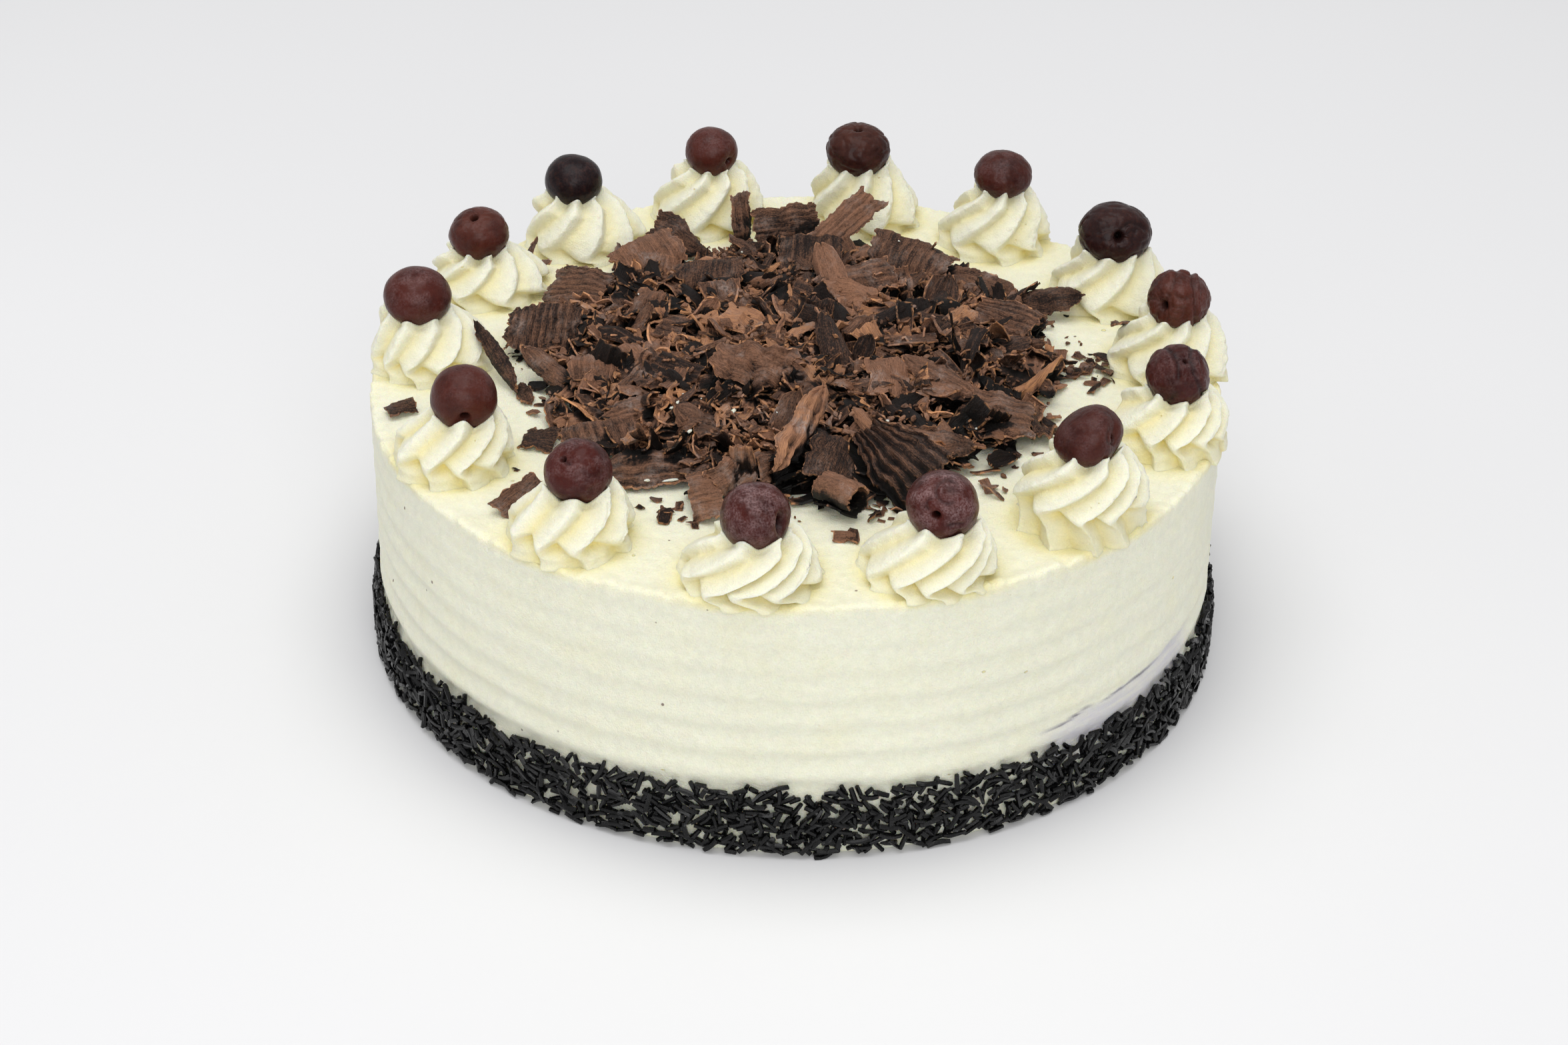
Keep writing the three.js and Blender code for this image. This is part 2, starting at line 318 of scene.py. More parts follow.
def dressShader(tree, shader, colour, rough, height, strength, depth):  # the bump's depth in millimetres
    bump = addNode(tree, 'ShaderNodeBump', Strength=strength, Distance=depth * mm, Height=height)
    plug(tree, colour, shader.inputs['Base Color'])
    plug(tree, rough, shader.inputs['Roughness'])
    plug(tree, bump.outputs[0], shader.inputs['Normal'])


def setShader(shader, gloss, soak=None, soakWeight=0.0, soakDepth=0.0):  # soakDepth in millimetres
    shader.inputs['Specular IOR Level'].default_value = gloss
    if soak:
        shader.inputs['Subsurface Weight'].default_value = soakWeight
        shader.inputs['Subsurface Radius'].default_value = soak
        shader.inputs['Subsurface Scale'].default_value = soakDepth * mm


def newGroup(name, inputs, outputs):
    group = bpy.data.node_groups.new(name, 'ShaderNodeTree')
    group.interface.new_socket(name='Place', in_out='INPUT', socket_type='NodeSocketVector')
    for key, value in inputs.items():
        socket = group.interface.new_socket(name=key, in_out='INPUT', socket_type='NodeSocketFloat')
        socket.default_value = value
    for key in outputs:
        group.interface.new_socket(name=key, in_out='OUTPUT', socket_type='NodeSocketFloat')
    entry = group.nodes.new('NodeGroupInput').outputs
    leave = group.nodes.new('NodeGroupOutput').inputs
    return group, entry, leave


def placeGroup(tree, group, place, **values):
    node = tree.nodes.new('ShaderNodeGroup')
    node.node_tree = group
    plug(tree, place, node.inputs['Place'])
    for key, value in values.items():
        plug(tree, value, node.inputs[key])
    return node.outputs


def makeCreamGroup():  # whipped cream: fine grain and air pits, with a mask for a painted yellowish shade in the pits and a painted light and shade of the grain in place of a deeper bump
    group, entry, leave = newGroup('whippedGrain', {'Grain': 1.0, 'Pits': 0.5, 'Closeness': 1.0},
                                   ['Height', 'PitShade', 'Shade'])
    place = entry['Place']
    fine = noiseOf(group, place, 0.45, 3, 0.65)
    soft = noiseOf(group, place, 2.4, 2, 0.5)
    closer = scaledBy(group, stretched(group, place, (1, 1, 1.9)), entry['Closeness'])
    wander = noiseOf(group, closer, 26, 1)
    reach = times(group, spread(group, wander, 0.40, 0.70, 0.0, 0.10), entry['Pits'])
    jagged = minus(group, reach, times(group, fine, 0.03))
    pit = spread(group, minus(group, jagged, cellDistance(group, closer, 12)), 0.0, 0.02)
    grain = times(group, plus(group, fine, times(group, soft, 1.2)), entry['Grain'])
    plug(group, minus(group, grain, times(group, pit, 1.6)), leave['Height'])
    plug(group, pit, leave['PitShade'])
    plug(group, plus(group, times(group, fine, 0.6), times(group, soft, 0.4)), leave['Shade'])
    return group


def makeFrostGroup():  # pale bloom in soft patches and fine specks
    group, entry, leave = newGroup('paleBloom', {'Size': 1.0, 'Amount': 0.5}, ['Mask'])
    place = scaledBy(group, entry['Place'], entry['Size'])
    patches = spread(group, noiseOf(group, place, 4.0, 3, 0.6), 0.42, 0.64)
    specks = spread(group, noiseOf(group, place, 0.5, 2, 0.7), 0.3, 0.62)
    both = times(group, patches, specks)
    plug(group, times(group, both, entry['Amount'], clamp=True), leave['Mask'])
    return group


creamGrain = makeCreamGroup()
paleBloom = makeFrostGroup()


# materials

creamColours = {
    'coat': (0.91, 0.905, 0.74, 1),
    # a yellow for painted shade on the coat, by the rosettes' feet and in the air pits
    'coatShadeYellow': (0.91, 0.80, 0.34, 1),
    'piped': (0.825, 0.797, 0.585, 1),
    # a pale cream for a painted highlight along the rosettes' crests, then a deep yellow for painted shade
    # in their hollows and air pits
    'pipedCrestHighlight': (0.865, 0.86, 0.73, 1),
    'pipedShadeYellow': (0.88, 0.73, 0.22, 1),
    'smear': (0.66, 0.645, 0.67, 1),
    'bare': (0.19, 0.18, 0.20, 1),
    'crumb': (0.13, 0.07, 0.05, 1),
    'soak': (1.0, 0.75, 0.35),  # how far red, green and blue travel inside
    'soakDepth': 1.6,  # in millimetres
}


def coatFinish():
    finish, tree, shader, place = newFinish('coatCream')
    grain = placeGroup(tree, creamGrain, place, Grain=1.0, Pits=0.9, Closeness=1.0)
    broad = noiseOf(tree, place, 38, 2)
    streak = noiseOf(tree, stretched(tree, place, (0.25, 0.25, 2)), 3, 2)
    dots = spread(tree, cellDistance(tree, place, 12), 0.028, 0.042, 1.0, 0.0)
    # painted warm shade by the rosettes' feet, then a painted yellowish shade in the air pits
    colour = layered(tree, creamColours['coat'], creamColours, (markOf(tree, 'paintedWarmShade'), 'coatShadeYellow'),
                     (times(tree, grain['PitShade'], 0.7), 'coatShadeYellow'))
    # painted light and shade of the fine grain, in place of a deeper bump
    shade = spread(tree, grain['Shade'], 0.36, 0.64, 0.93, 1.03)
    colour = shaded(tree, colour, times(tree, shade, spread(tree, broad, 0.3, 0.7, 0.975, 1.02)))
    smear = times(tree, markOf(tree, 'smear'), spread(tree, streak, 0.3, 0.6, 0.55, 1.0))
    bare = times(tree, markOf(tree, 'bare'), spread(tree, streak, 0.42, 0.55))
    colour = layered(tree, colour, creamColours, (smear, 'smear'), (bare, 'bare'),
                     (times(tree, dots, 0.8), 'crumb'))
    rough = spread(tree, grain['Shade'], 0.3, 0.7, 0.50, 0.62)
    dressShader(tree, shader, colour, rough, grain['Height'], 1.0, 0.4)
    creamShader(shader)
    return finish


def pipedFinish():
    finish, tree, shader, place = newFinish('pipedCream')
    grain = placeGroup(tree, creamGrain, place, Grain=0.8, Pits=1.0, Closeness=2.2)
    # painted shade in the hollows and air pits in a deep yellow, and a painted highlight along the crests
    colour = layered(tree, creamColours['piped'], creamColours, (markOf(tree, 'paintedHollowShade'), 'pipedShadeYellow'),
                     (times(tree, markOf(tree, 'crest'), 0.8), 'pipedCrestHighlight'),
                     (times(tree, grain['PitShade'], 0.6), 'pipedShadeYellow'))
    # painted light and shade of the fine grain, in place of a deeper bump
    colour = shaded(tree, colour, spread(tree, grain['Shade'], 0.36, 0.64, 0.93, 1.03))
    rough = spread(tree, grain['Shade'], 0.3, 0.7, 0.45, 0.58)
    dressShader(tree, shader, colour, rough, grain['Height'], 1.0, 0.35)
    creamShader(shader)
    return finish


def creamShader(shader):
    setShader(shader, 0.35, creamColours['soak'], 0.4, creamColours['soakDepth'])
    shader.inputs['IOR'].default_value = 1.42


cherryColours = {
    'skin': (0.070, 0.013, 0.010, 1),
    'dark': (0.010, 0.005, 0.006, 1),
    'brown': (0.105, 0.033, 0.018, 1),
    'frost': (0.29, 0.185, 0.185, 1),
    # near black, a painted shade inside the stalk's hole
    'hole': (0.006, 0.003, 0.003, 1),
}


def cherryFinish():
    finish, tree, shader, place = newFinish('cherrySkin')
    patches = noiseOf(tree, place, 7, 3, 0.6)
    mottle = noiseOf(tree, place, 1.3, 3, 0.6)
    bloom = placeGroup(tree, paleBloom, place, Size=1.0, Amount=markOf(tree, 'frost'))['Mask']
    # the ripe mark adds painted shade in the creases, and the hole mark is a painted shade in the stalk's
    # hole
    colour = layered(tree, cherryColours['skin'], cherryColours,
                     (markOf(tree, 'ripe'), 'dark'), (markOf(tree, 'brown'), 'brown'),
                     (times(tree, spread(tree, patches, 0.45, 0.72), 0.6), 'dark'),
                     (times(tree, spread(tree, mottle, 0.5, 0.75), 0.25), 'brown'),
                     (bloom, 'frost'), (markOf(tree, 'hole'), 'hole'))
    rough = plus(tree, spread(tree, mottle, 0.3, 0.7, 0.24, 0.34), times(tree, bloom, 0.35))
    dressShader(tree, shader, colour, rough, mottle, 0.3, 0.3)
    setShader(shader, 0.13, (1.0, 0.15, 0.1), 0.12, 1.5)
    return finish


chocolateColours = {
    # black: the lowest end, reached by dark flakes and by the painted shade in gaps and rib valleys
    'black': (0.003, 0.002, 0.0015, 1),
    'dark': (0.018, 0.009, 0.0065, 1),
    'mid': (0.31, 0.15, 0.087, 1),
    'warm': (0.63, 0.30, 0.135, 1),
    'dusty': (0.38, 0.30, 0.265, 1),
}


def chocolateFinish():
    finish, tree, shader, place = newFinish('shavedChocolate')
    tone = markOf(tree, 'tone')
    edge = markOf(tree, 'edge')
    along = markOf(tree, 'grain', 'Vector')
    streak = noiseOf(tree, along, 1 / 1.4, 2, 0.6, unit=1)
    thread = noiseOf(tree, along, 1 / 6.5, 2, 0.7, unit=1)
    patch = noiseOf(tree, place, 6, 2)
    broken = noiseOf(tree, place, 1.8, 2)
    fine = noiseOf(tree, place, 0.5, 2, 0.6)

    # a shade from black to mid brown: the flake's own tone and streaks, darkened by painted shade in gaps
    # and rib valleys and lightened by a painted highlight on edges and rib crests; warm edges, partly their
    # broken colour and partly a painted highlight, and a pale dust
    uneven = plus(tree, times(tree, streak, 0.8), times(tree, thread, 1.3))
    uneven = plus(tree, uneven, times(tree, fine, 1.1))
    shade = plus(tree, tone, minus(tree, uneven, 1.53))
    shade = plus(tree, shade, times(tree, edge, 0.33))
    warm = times(tree, spread(tree, edge, 0.25, 0.95), spread(tree, broken, 0.46, 0.64, 0.0, 0.65))
    pale = times(tree, spread(tree, tone, 0.75, 1.25, 0.0, 1.1), spread(tree, thread, 0.36, 0.6))
    amount = spread(tree, patch, 0.45, 0.7, 0.0, 0.8)
    bloom = placeGroup(tree, paleBloom, place, Size=0.6, Amount=amount)['Mask']
    colour = layered(tree, chocolateColours['dark'], chocolateColours,
                     (spread(tree, shade, 0.0, 1.0), 'mid'),
                     (spread(tree, shade, -0.7, 0.0, 1.0, 0.0), 'black'),
                     (plus(tree, warm, pale, clamp=True), 'warm'),
                     (times(tree, bloom, spread(tree, tone, 0.0, 0.3)), 'dusty'))
    rough = spread(tree, streak, 0.3, 0.7, 0.42, 0.62)
    dressShader(tree, shader, colour, rough, plus(tree, thread, times(tree, fine, 0.4)), 0.8, 0.7)
    setShader(shader, 0.24)
    return finish


sprinkleColours = {
    'black': (0.0008, 0.0008, 0.001, 1),
    'grey': (0.006, 0.006, 0.0065, 1),
    'speck': (0.04, 0.04, 0.042, 1),
}


def sprinkleFinish():
    finish, tree, shader, place = newFinish('blackSprinkle')
    speck = noiseOf(tree, place, 0.35, 2)
    colour = layered(tree, sprinkleColours['black'], sprinkleColours, (markOf(tree, 'tone'), 'grey'),
                     (spread(tree, speck, 0.60, 0.75, 0.0, 0.5), 'speck'))
    dressShader(tree, shader, colour, spread(tree, speck, 0.3, 0.7, 0.2, 0.34), speck, 0.4, 0.1)
    setShader(shader, 0.27)
    return finish


coatCream = coatFinish()
pipedCream = pipedFinish()
cherrySkin = cherryFinish()
shavedChocolate = chocolateFinish()
blackSprinkle = sprinkleFinish()
print("finishes ready")


# the ring of rosettes: angle from +X, distance from the middle, foot radius, fold height of the
# lower ruffle and how torn the crests are, then the cherry: height of its middle, width, tallness,
# shift along X, direction of the stalk's hole, and how dark, brown, frosted and wrinkled it is
toppingParts = ('angle', 'ring', 'foot', 'fold', 'torn', 'lift', 'wide', 'tall', 'shift', 'stalk', 'ripe',
                'brown', 'frost', 'wrinkle')
toppings = [dict(zip(toppingParts, row)) for row in (
    (-151.5, 99.5, 15.2, 3.4, 0.25, 18.2, 17.2, 16.8, 3.4, (-82, -14), 0.12, 0.3, 0.15, 0.1),
    (-123.5, 99.5, 15.6, 3.1, 0.4, 18.0, 16.8, 16.4, 2.4, (-135, 50), 0.15, 0.0, 0.4, 0.3),
    (-96.0, 99.5, 17.4, 1.2, 0.35, 16.0, 17.0, 16.8, 1.2, (-36, 6), 0.2, 0.0, 0.75, 0.15),
    (-71.0, 99.5, 16.6, 1.4, 0.3, 17.2, 17.9, 16.6, 3.2, (-105, 12), 0.1, 0.0, 0.75, 0.2),
    (-45.0, 100.5, 17.0, 7.6, 0.4, 24.4, 17.6, 15.4, 0.9, (-42, 10), 0.35, 0.2, 0.2, 0.3),
    (-17.0, 101.0, 16.0, 4.8, 0.3, 18.6, 16.6, 16.2, 1.3, (-70, 62), 0.35, 0.0, 0.3, 0.65),
    (6.5, 101.5, 16.8, 2.4, 0.3, 19.4, 17.6, 16.2, 1.0, (-130, 8), 0.2, 0.5, 0.2, 0.9),
    (30.5, 101.5, 16.8, 1.6, 0.3, 19.4, 20.8, 16.6, 0.4, (-88, 22), 0.85, 0.1, 0.03, 0.6),
    (56.5, 102.5, 16.0, 3.0, 0.4, 20.8, 16.8, 13.8, 1.6, (60, 20), 0.3, 0.3, 0.2, 0.4),
    (79.5, 101.5, 16.6, 1.6, 0.4, 21.2, 19.0, 16.0, -2.0, (-100, 84), 0.75, 0.4, 0.0, 0.7),
    (105.5, 101.5, 16.6, 2.0, 0.4, 20.6, 15.4, 14.6, 0.8, (-40, -8), 0.1, 0.3, 0.2, 0.2),
    (127.5, 102.0, 17.4, 1.2, 0.2, 18.6, 16.6, 14.8, -3.4, (100, 10), 1.0, 0.0, 0.08, 0.1),
    (150.0, 101.0, 17.0, 1.6, 0.2, 15.8, 17.0, 14.6, -2.4, (-110, 70), 0.1, 0.4, 0.1, 0.4),
    (176.0, 99.0, 16.6, 3.2, 0.2, 18.4, 18.2, 16.0, -3.2, (90, 30), 0.1, 0.2, 0.3, 0.1),
)]

# for each ridge of the rosettes in front: where it reaches the cake, and where the rim
ridgeTurns = {
    1: ((214, 253, 288, 322, 365, 420, 475, 525), (208, 274, 338, 385, 425, 460, 495, 530)),
    2: ((214, 246, 284, 330, 375, 425, 475, 522), (197, 266, 334, 380, 420, 458, 492, 524)),
    3: ((164, 207, 241, 268, 303, 353, 408, 465), (195, 250, 314, 360, 405, 445, 482, 518)),
    4: ((169, 214, 247, 276, 308, 350, 405, 470), (193, 240, 298, 350, 400, 442, 480, 517)),
    5: ((150, 193, 232, 272, 301, 345, 400, 455), (190, 241, 300, 345, 400, 440, 480, 515)),
    6: ((209, 251, 275, 305, 335, 380, 430, 490), (228, 280, 330, 370, 415, 455, 495, 540)),
    14: ((205, 232, 257, 290, 330, 380, 435, 500), (215, 257, 307, 365, 405, 445, 485, 525)),
}
toppings[4]['lower'] = (0.95, 0.72)  # a narrower tier below, its crests and valleys as shares of the foot
for index, height in enumerate((2.6, 2.2, 3.6, 3.8)):
    toppings[index]['horn'] = (152, height)  # the peak where the nozzle left: direction and height
for index, spec in enumerate(toppings):
    around = math.radians(spec['angle'])
    spec['middle'] = np.array([spec['ring'] * math.cos(around), spec['ring'] * math.sin(around)])
    even = np.arange(8) * 45 + 17 * index
    foot, rim = ridgeTurns.get(index + 1, (even, even + 48))
    spec['footTurns'] = np.array([*foot, foot[0] + 360], dtype=float)
    spec['rimTurns'] = np.array([*rim, rim[0] + 360], dtype=float)


# the coat

coat = {
    'around': 720,
    'edgeRound': 1.2,
    'bandHeight': 8.06,  # each band slopes out to its lower edge, as the comb left it
    'bandDepth': 0.8,
    'bandFoot': 22.2,
    'bandTop': 66.0,
    'bandsFrom': (12, 18),  # heights over which they set in, and over which they end
    'bandsUntil': (65, 71),
    'bandsFaint': (-35, 22),  # angle and half width of the part where they are half as strong
    # raised lips of the edge: angle, half width and height
    'lips': ((-134, 6, 0.9), (-109, 6, 1.5), (-101, 4, 0.9), (-84, 3, 1.0), (-62, 7, 1.5), (-54, 4, 1.3),
             (-38, 5, 1.1), (-24, 5, 1.2), (40, 6, 0.8), (120, 8, 1.0), (200, 6, 0.9)),
    'smear': (-59, -22, 21.5),  # from angle to angle, and its height
    'sideRows': 82,
    'topRows': 42,
    'paintedWarmShade': 0.55,  # painted warm shade by the rosettes' feet
    'paintedWarmShadeWidth': 2.6,
}


def coatProfile():
    edge = coat['edgeRound']
    rows = [(0, 0), (60, 0), (106, 0), (112.6, 0), (113.7, 0.25)]
    rows += [(cakeRadius, level) for level in np.linspace(0.9, cakeHeight - edge, coat['sideRows'])]
    for degrees in (25, 50, 72, 90):
        bend = math.radians(degrees)
        rows.append((cakeRadius - edge + edge * math.cos(bend), cakeHeight - edge + edge * math.sin(bend)))
    rows += [(radius, cakeHeight) for radius in np.linspace(111.6, 66, coat['topRows'])]
    rows += [(radius, cakeHeight) for radius in (61, 52, 38, 20, 0)]
    return np.array(rows)


def makeCoat():
    profile = coatProfile()
    ball, row, column, _ = addBall(coat['around'], len(profile) - 1)
    radius, level = profile[row].T
    turn = column / coat['around'] * 2 * math.pi
    x = np.cos(turn)
    y = np.sin(turn)
    degrees = wrapAngle(np.degrees(turn))
    onSide = smoothStep(level, 1.0, 6.0) * smoothStep(radius, 112.4, 113.6)
    onTop = smoothStep(level, cakeHeight - 0.9, cakeHeight - 0.05)

    # comb bands, spatula streaks and broad unevenness on the side
    at = beside(x * cakeRadius, y * cakeRadius, level)
    wave = 0.5 * np.sin(2 * turn + 2.2) + 0.3 * np.sin(5 * turn) + 0.5 * lumps(at, 30, 3.0)
    within = ((level + wave - coat['bandFoot']) / coat['bandHeight']) % 1.0
    crest = 0.6  # share of the band below its deepest line
    slant = np.where(within < crest, 0.5 - 0.5 * np.cos(math.pi * within / crest),
                     0.5 + 0.5 * np.cos(math.pi * (within - crest) / (1 - crest)))
    fade = smoothStep(level, *coat['bandsFrom']) * (1 - 0.6 * smoothStep(level, 40, coat['bandTop']))
    fade *= 1 - smoothStep(level, *coat['bandsUntil'])
    faintAngle, faintWidth = coat['bandsFaint']
    fade *= 1 - 0.5 * bell(wrapAngle(degrees - faintAngle), faintWidth)
    push = -coat['bandDepth'] * slant * fade * (0.85 + 0.6 * lumps(at, 45, 9.0))
    push += 0.45 * lumps(at, 40, 1.0) + 0.15 * lumps(at * [0.25, 0.25, 1], 2.6, 5.0)
    push += 0.09 * lumps(at * [0.4, 0.4, 1], 1.1, 8.0) + 0.10 * lumps(at, 1.6, 12.0)
    radius = radius + (push - 0.25) * onSide

    # the top, with soft strokes round the middle
    ringed = beside(radius, turn * 30, np.zeros_like(turn))
    rise = 0.25 * lumps(beside(radius * x, radius * y, level), 24, 2.0)
    rise += 0.2 * lumps(ringed, 2.4, 4.0) + 0.12 * lumps(ringed, 1.1, 6.0)
    level = level + rise * onTop - 0.2 * onTop

    # ragged lips at the edge
    edge = smoothStep(radius, 108.5, 112.6) * smoothStep(level, 66, 72)
    lip = np.zeros_like(turn)
    for angle, width, height in coat['lips']:
        away = wrapAngle(degrees - angle)
        lip += height * np.exp(-np.abs(away / width) ** 3)
    ragged = 0.6 + 1.1 * lumps(beside(x * cakeRadius, y * cakeRadius, 0 * x), 2.4, 7.0)
    lip = lip * np.clip(ragged, 0.0, 1.3) + 0.6 * lumps(at, 3.2, 11.0) + 0.5 * lumps(at, 1.7, 13.0)
    level = level + edge * lip
    radius = radius + 0.5 * edge * lip

    points = beside(radius * x, radius * y, level)
    writePoints(ball, points)
    shadeSmooth(ball)

    # painted warm shade by the rosettes' feet, a faint painted warm tint on the top over random warm
    # patches, and the bare smear at the right
    paintedWarmShade = np.zeros(len(points))
    for spec in toppings:
        gap = np.linalg.norm(points[:, :2] - spec['middle'], axis=1) - spec['foot']
        paintedWarmShade = np.maximum(paintedWarmShade, np.exp(-np.clip(gap, 0, None) / coat['paintedWarmShadeWidth']))
    paintedWarmShade = coat['paintedWarmShade'] * paintedWarmShade * smoothStep(level, 70, 72.4) + 0.12 * np.clip(lumps(points, 9, 3.0), 0, 1)
    paintedWarmShade += 0.07 * smoothStep(level, 71, 72.6)
    setMark(ball, 'paintedWarmShade', np.clip(paintedWarmShade, 0, 1))
    fromAngle, toAngle, height = coat['smear']
    span = smoothStep(degrees, fromAngle, fromAngle + 8) * (1 - smoothStep(degrees, toAngle - 6, toAngle))
    tops = height + 3.4 + 1.0 * lumps(at, 8, 6.0) + 0.09 * (degrees - fromAngle)
    smear = span * (1 - smoothStep(level, tops - 0.6, tops + 0.5)) * smoothStep(level, 12, 16)
    setMark(ball, 'smear', smear)
    line = span * bell(level - tops + 0.4, 0.45)
    setMark(ball, 'bare', line * (1 - smoothStep(degrees, fromAngle + 20, fromAngle + 28)))
    finishPiece(ball, 'creamCoat', coatCream, 'whipped_cream', 'cake_body')


makeCoat()
print("coat made")


# the foot of sprinkles

sprinkles = {
    'count': 3400,
    'radius': 0.66,
    'band': 19.0,  # height of the band
    'ragged': 2.2,  # how much its top wanders
    'outside': 116.65,
    'cell': 0.5,  # of the map that says how high they are piled
    # length and bend
    'shapes': ((2.6, 0.0), (3.2, 0.1), (3.8, 0.25), (4.4, 0.0), (5.0, 0.5), (5.6, 0.1), (6.4, 0.7)),
    'lean': 0.85,  # in radians from level
    'gaps': 0.29,  # where the noise is above this, the cream shows
    'deepest': 1.7,  # how high they may be piled low down, and further up
    'deepestAbove': 1.1,
    'pile': 0.85,  # what each one adds
    'usualTilt': 0.85,  # share of them with the first of the tilts
    'tilts': (5, 20, 22),  # outward, in degrees: usual, seldom and at most
    'mostTries': 30000,
}


def sprinkleShapes():  # each lies along X
    shapes = []
    for length, bend in sprinkles['shapes']:
        ball, row, column, _ = addBall(6, 5)
        half = length / 2
        along = np.array([-half, -half + 0.16, -half / 3, half / 3, half - 0.16, half])[row]
        thick = np.array([0, 0.93, 1, 1, 0.93, 0])[row] * sprinkles['radius']
        turn = column / 6 * 2 * math.pi
        points = beside(along, thick * np.cos(turn), thick * np.sin(turn))
        points[:, 1] += bend * (1 - (along / half) ** 2) - bend / 2
        writePoints(ball, points)
        shapes.append(takeShape(ball))
    return shapes


def makeSprinkles():
    shapes = sprinkleShapes()
    chance = random.Random(77)
    cell = sprinkles['cell']
    usual, seldom, most = sprinkles['tilts']
    girth = 2 * math.pi * cakeRadius
    columns = int(girth / cell)
    levels = int(30 / cell)
    piled = np.zeros((columns, levels))
    places = []
    tries = 0
    while len(places) < sprinkles['count'] and tries < sprinkles['mostTries']:
        tries += 1
        along = chance.uniform(0, girth)
        turn = along / cakeRadius
        x = math.cos(turn)
        y = math.sin(turn)
        top = sprinkles['band'] + sprinkles['ragged'] * noise.noise((x * 14, y * 14, 0))
        top += 1.5 * noise.noise((x * 4, y * 4, 5))
        index = chance.randrange(len(shapes))
        length = sprinkles['shapes'][index][0]
        lean = chance.gauss(0, sprinkles['lean']) % math.pi
        reach = abs(math.sin(lean)) * length / 2 + 0.5
        level = reach + (top - reach) * chance.random() ** 0.92
        if level + reach > top + 2.6:
            continue
        if 4 < level < 0.65 * top and noise.noise((along / 5, level / 2.6, 9.0)) > sprinkles['gaps']:
            continue
        steps = np.arange(-length / 2, length / 2 + 0.1, cell * 0.8)
        aside = np.array([-0.4, 0, 0.4])
        spanA = along + np.outer(steps, [math.cos(lean)]) + aside * -math.sin(lean)
        spanB = level + np.outer(steps, [math.sin(lean)]) + aside * math.cos(lean)
        cellA = (spanA / cell).astype(int) % columns
        cellB = np.clip((spanB / cell).astype(int), 0, levels - 1)
        ground = np.percentile(piled[cellA, cellB], 72)
        deepest = sprinkles['deepest'] if level < top * 0.7 else sprinkles['deepestAbove']
        if ground > deepest or (level > top * 0.85 and chance.random() < 0.3):
            continue
        out = cakeRadius - 0.4 + ground + 0.6
        if out + 0.75 > sprinkles['outside']:
            continue
        piled[cellA, cellB] = np.maximum(piled[cellA, cellB], ground + sprinkles['pile'])
        outward = chance.gauss(0, usual if chance.random() < sprinkles['usualTilt'] else seldom)
        outward = max(min(outward, most), -most)
        # along the local +X is the sprinkle's length, +Y goes up and +Z out of the side
        side = np.array([[-y, 0, x], [x, 0, y], [0, 1, 0]])
        spin = np.array(Matrix.Rotation(lean, 3, 'Z') @ Matrix.Rotation(math.radians(outward), 3, 'Y')
                        @ Matrix.Rotation(chance.uniform(0, 6.28), 3, 'X'))
        places.append((index, side @ spin, np.array([out * x, out * y, level]), chance.random()))
    piece, points = joinCopies('sprinkleFoot', shapes, places)
    points[:, 2] = np.maximum(points[:, 2], 0.05)
    far = np.linalg.norm(points[:, :2], axis=1)
    points[:, :2] *= np.minimum(1, sprinkles['outside'] / far)[:, None]
    writePoints(piece, points)
    shadeSmooth(piece, 50)
    print("sprinkles", len(places), "after", tries)
    finishPiece(piece, 'sprinkleFoot', blackSprinkle, 'sprinkles', 'cake_body')


makeSprinkles()
print("sprinkles made")


# the rosettes

piping = {
    'ridges': 8,
    'perRidge': 24,
    'rows': 88,
    'lean': 3.4,  # degrees by which the crests hang over downhill
    'crestRound': 0.28,
    'valleyAt': 0.41,
    'valleyCurve': 1.4,
    'arch': 1.9,  # how far the hem rises between two noses
    'lumps': 0.42,
    'grit': 0.13,
    'tornAt': -30,  # the crests are torn most on this side, over this width
    'tornWidth': 55,
    'outermost': 116,  # from the cake's axis
    'foldedAbove': 3,  # fold height from which the lower ruffle is folded under
}


def dip(off):  # depth between two crests, with round crests
    rounding = piping['crestRound']
    soft = (np.sqrt(off**2 + rounding**2) - rounding) / (math.sqrt(1 + rounding**2) - rounding)
    return 1 - (1 - np.clip(soft, 0, 1)) ** piping['valleyCurve']


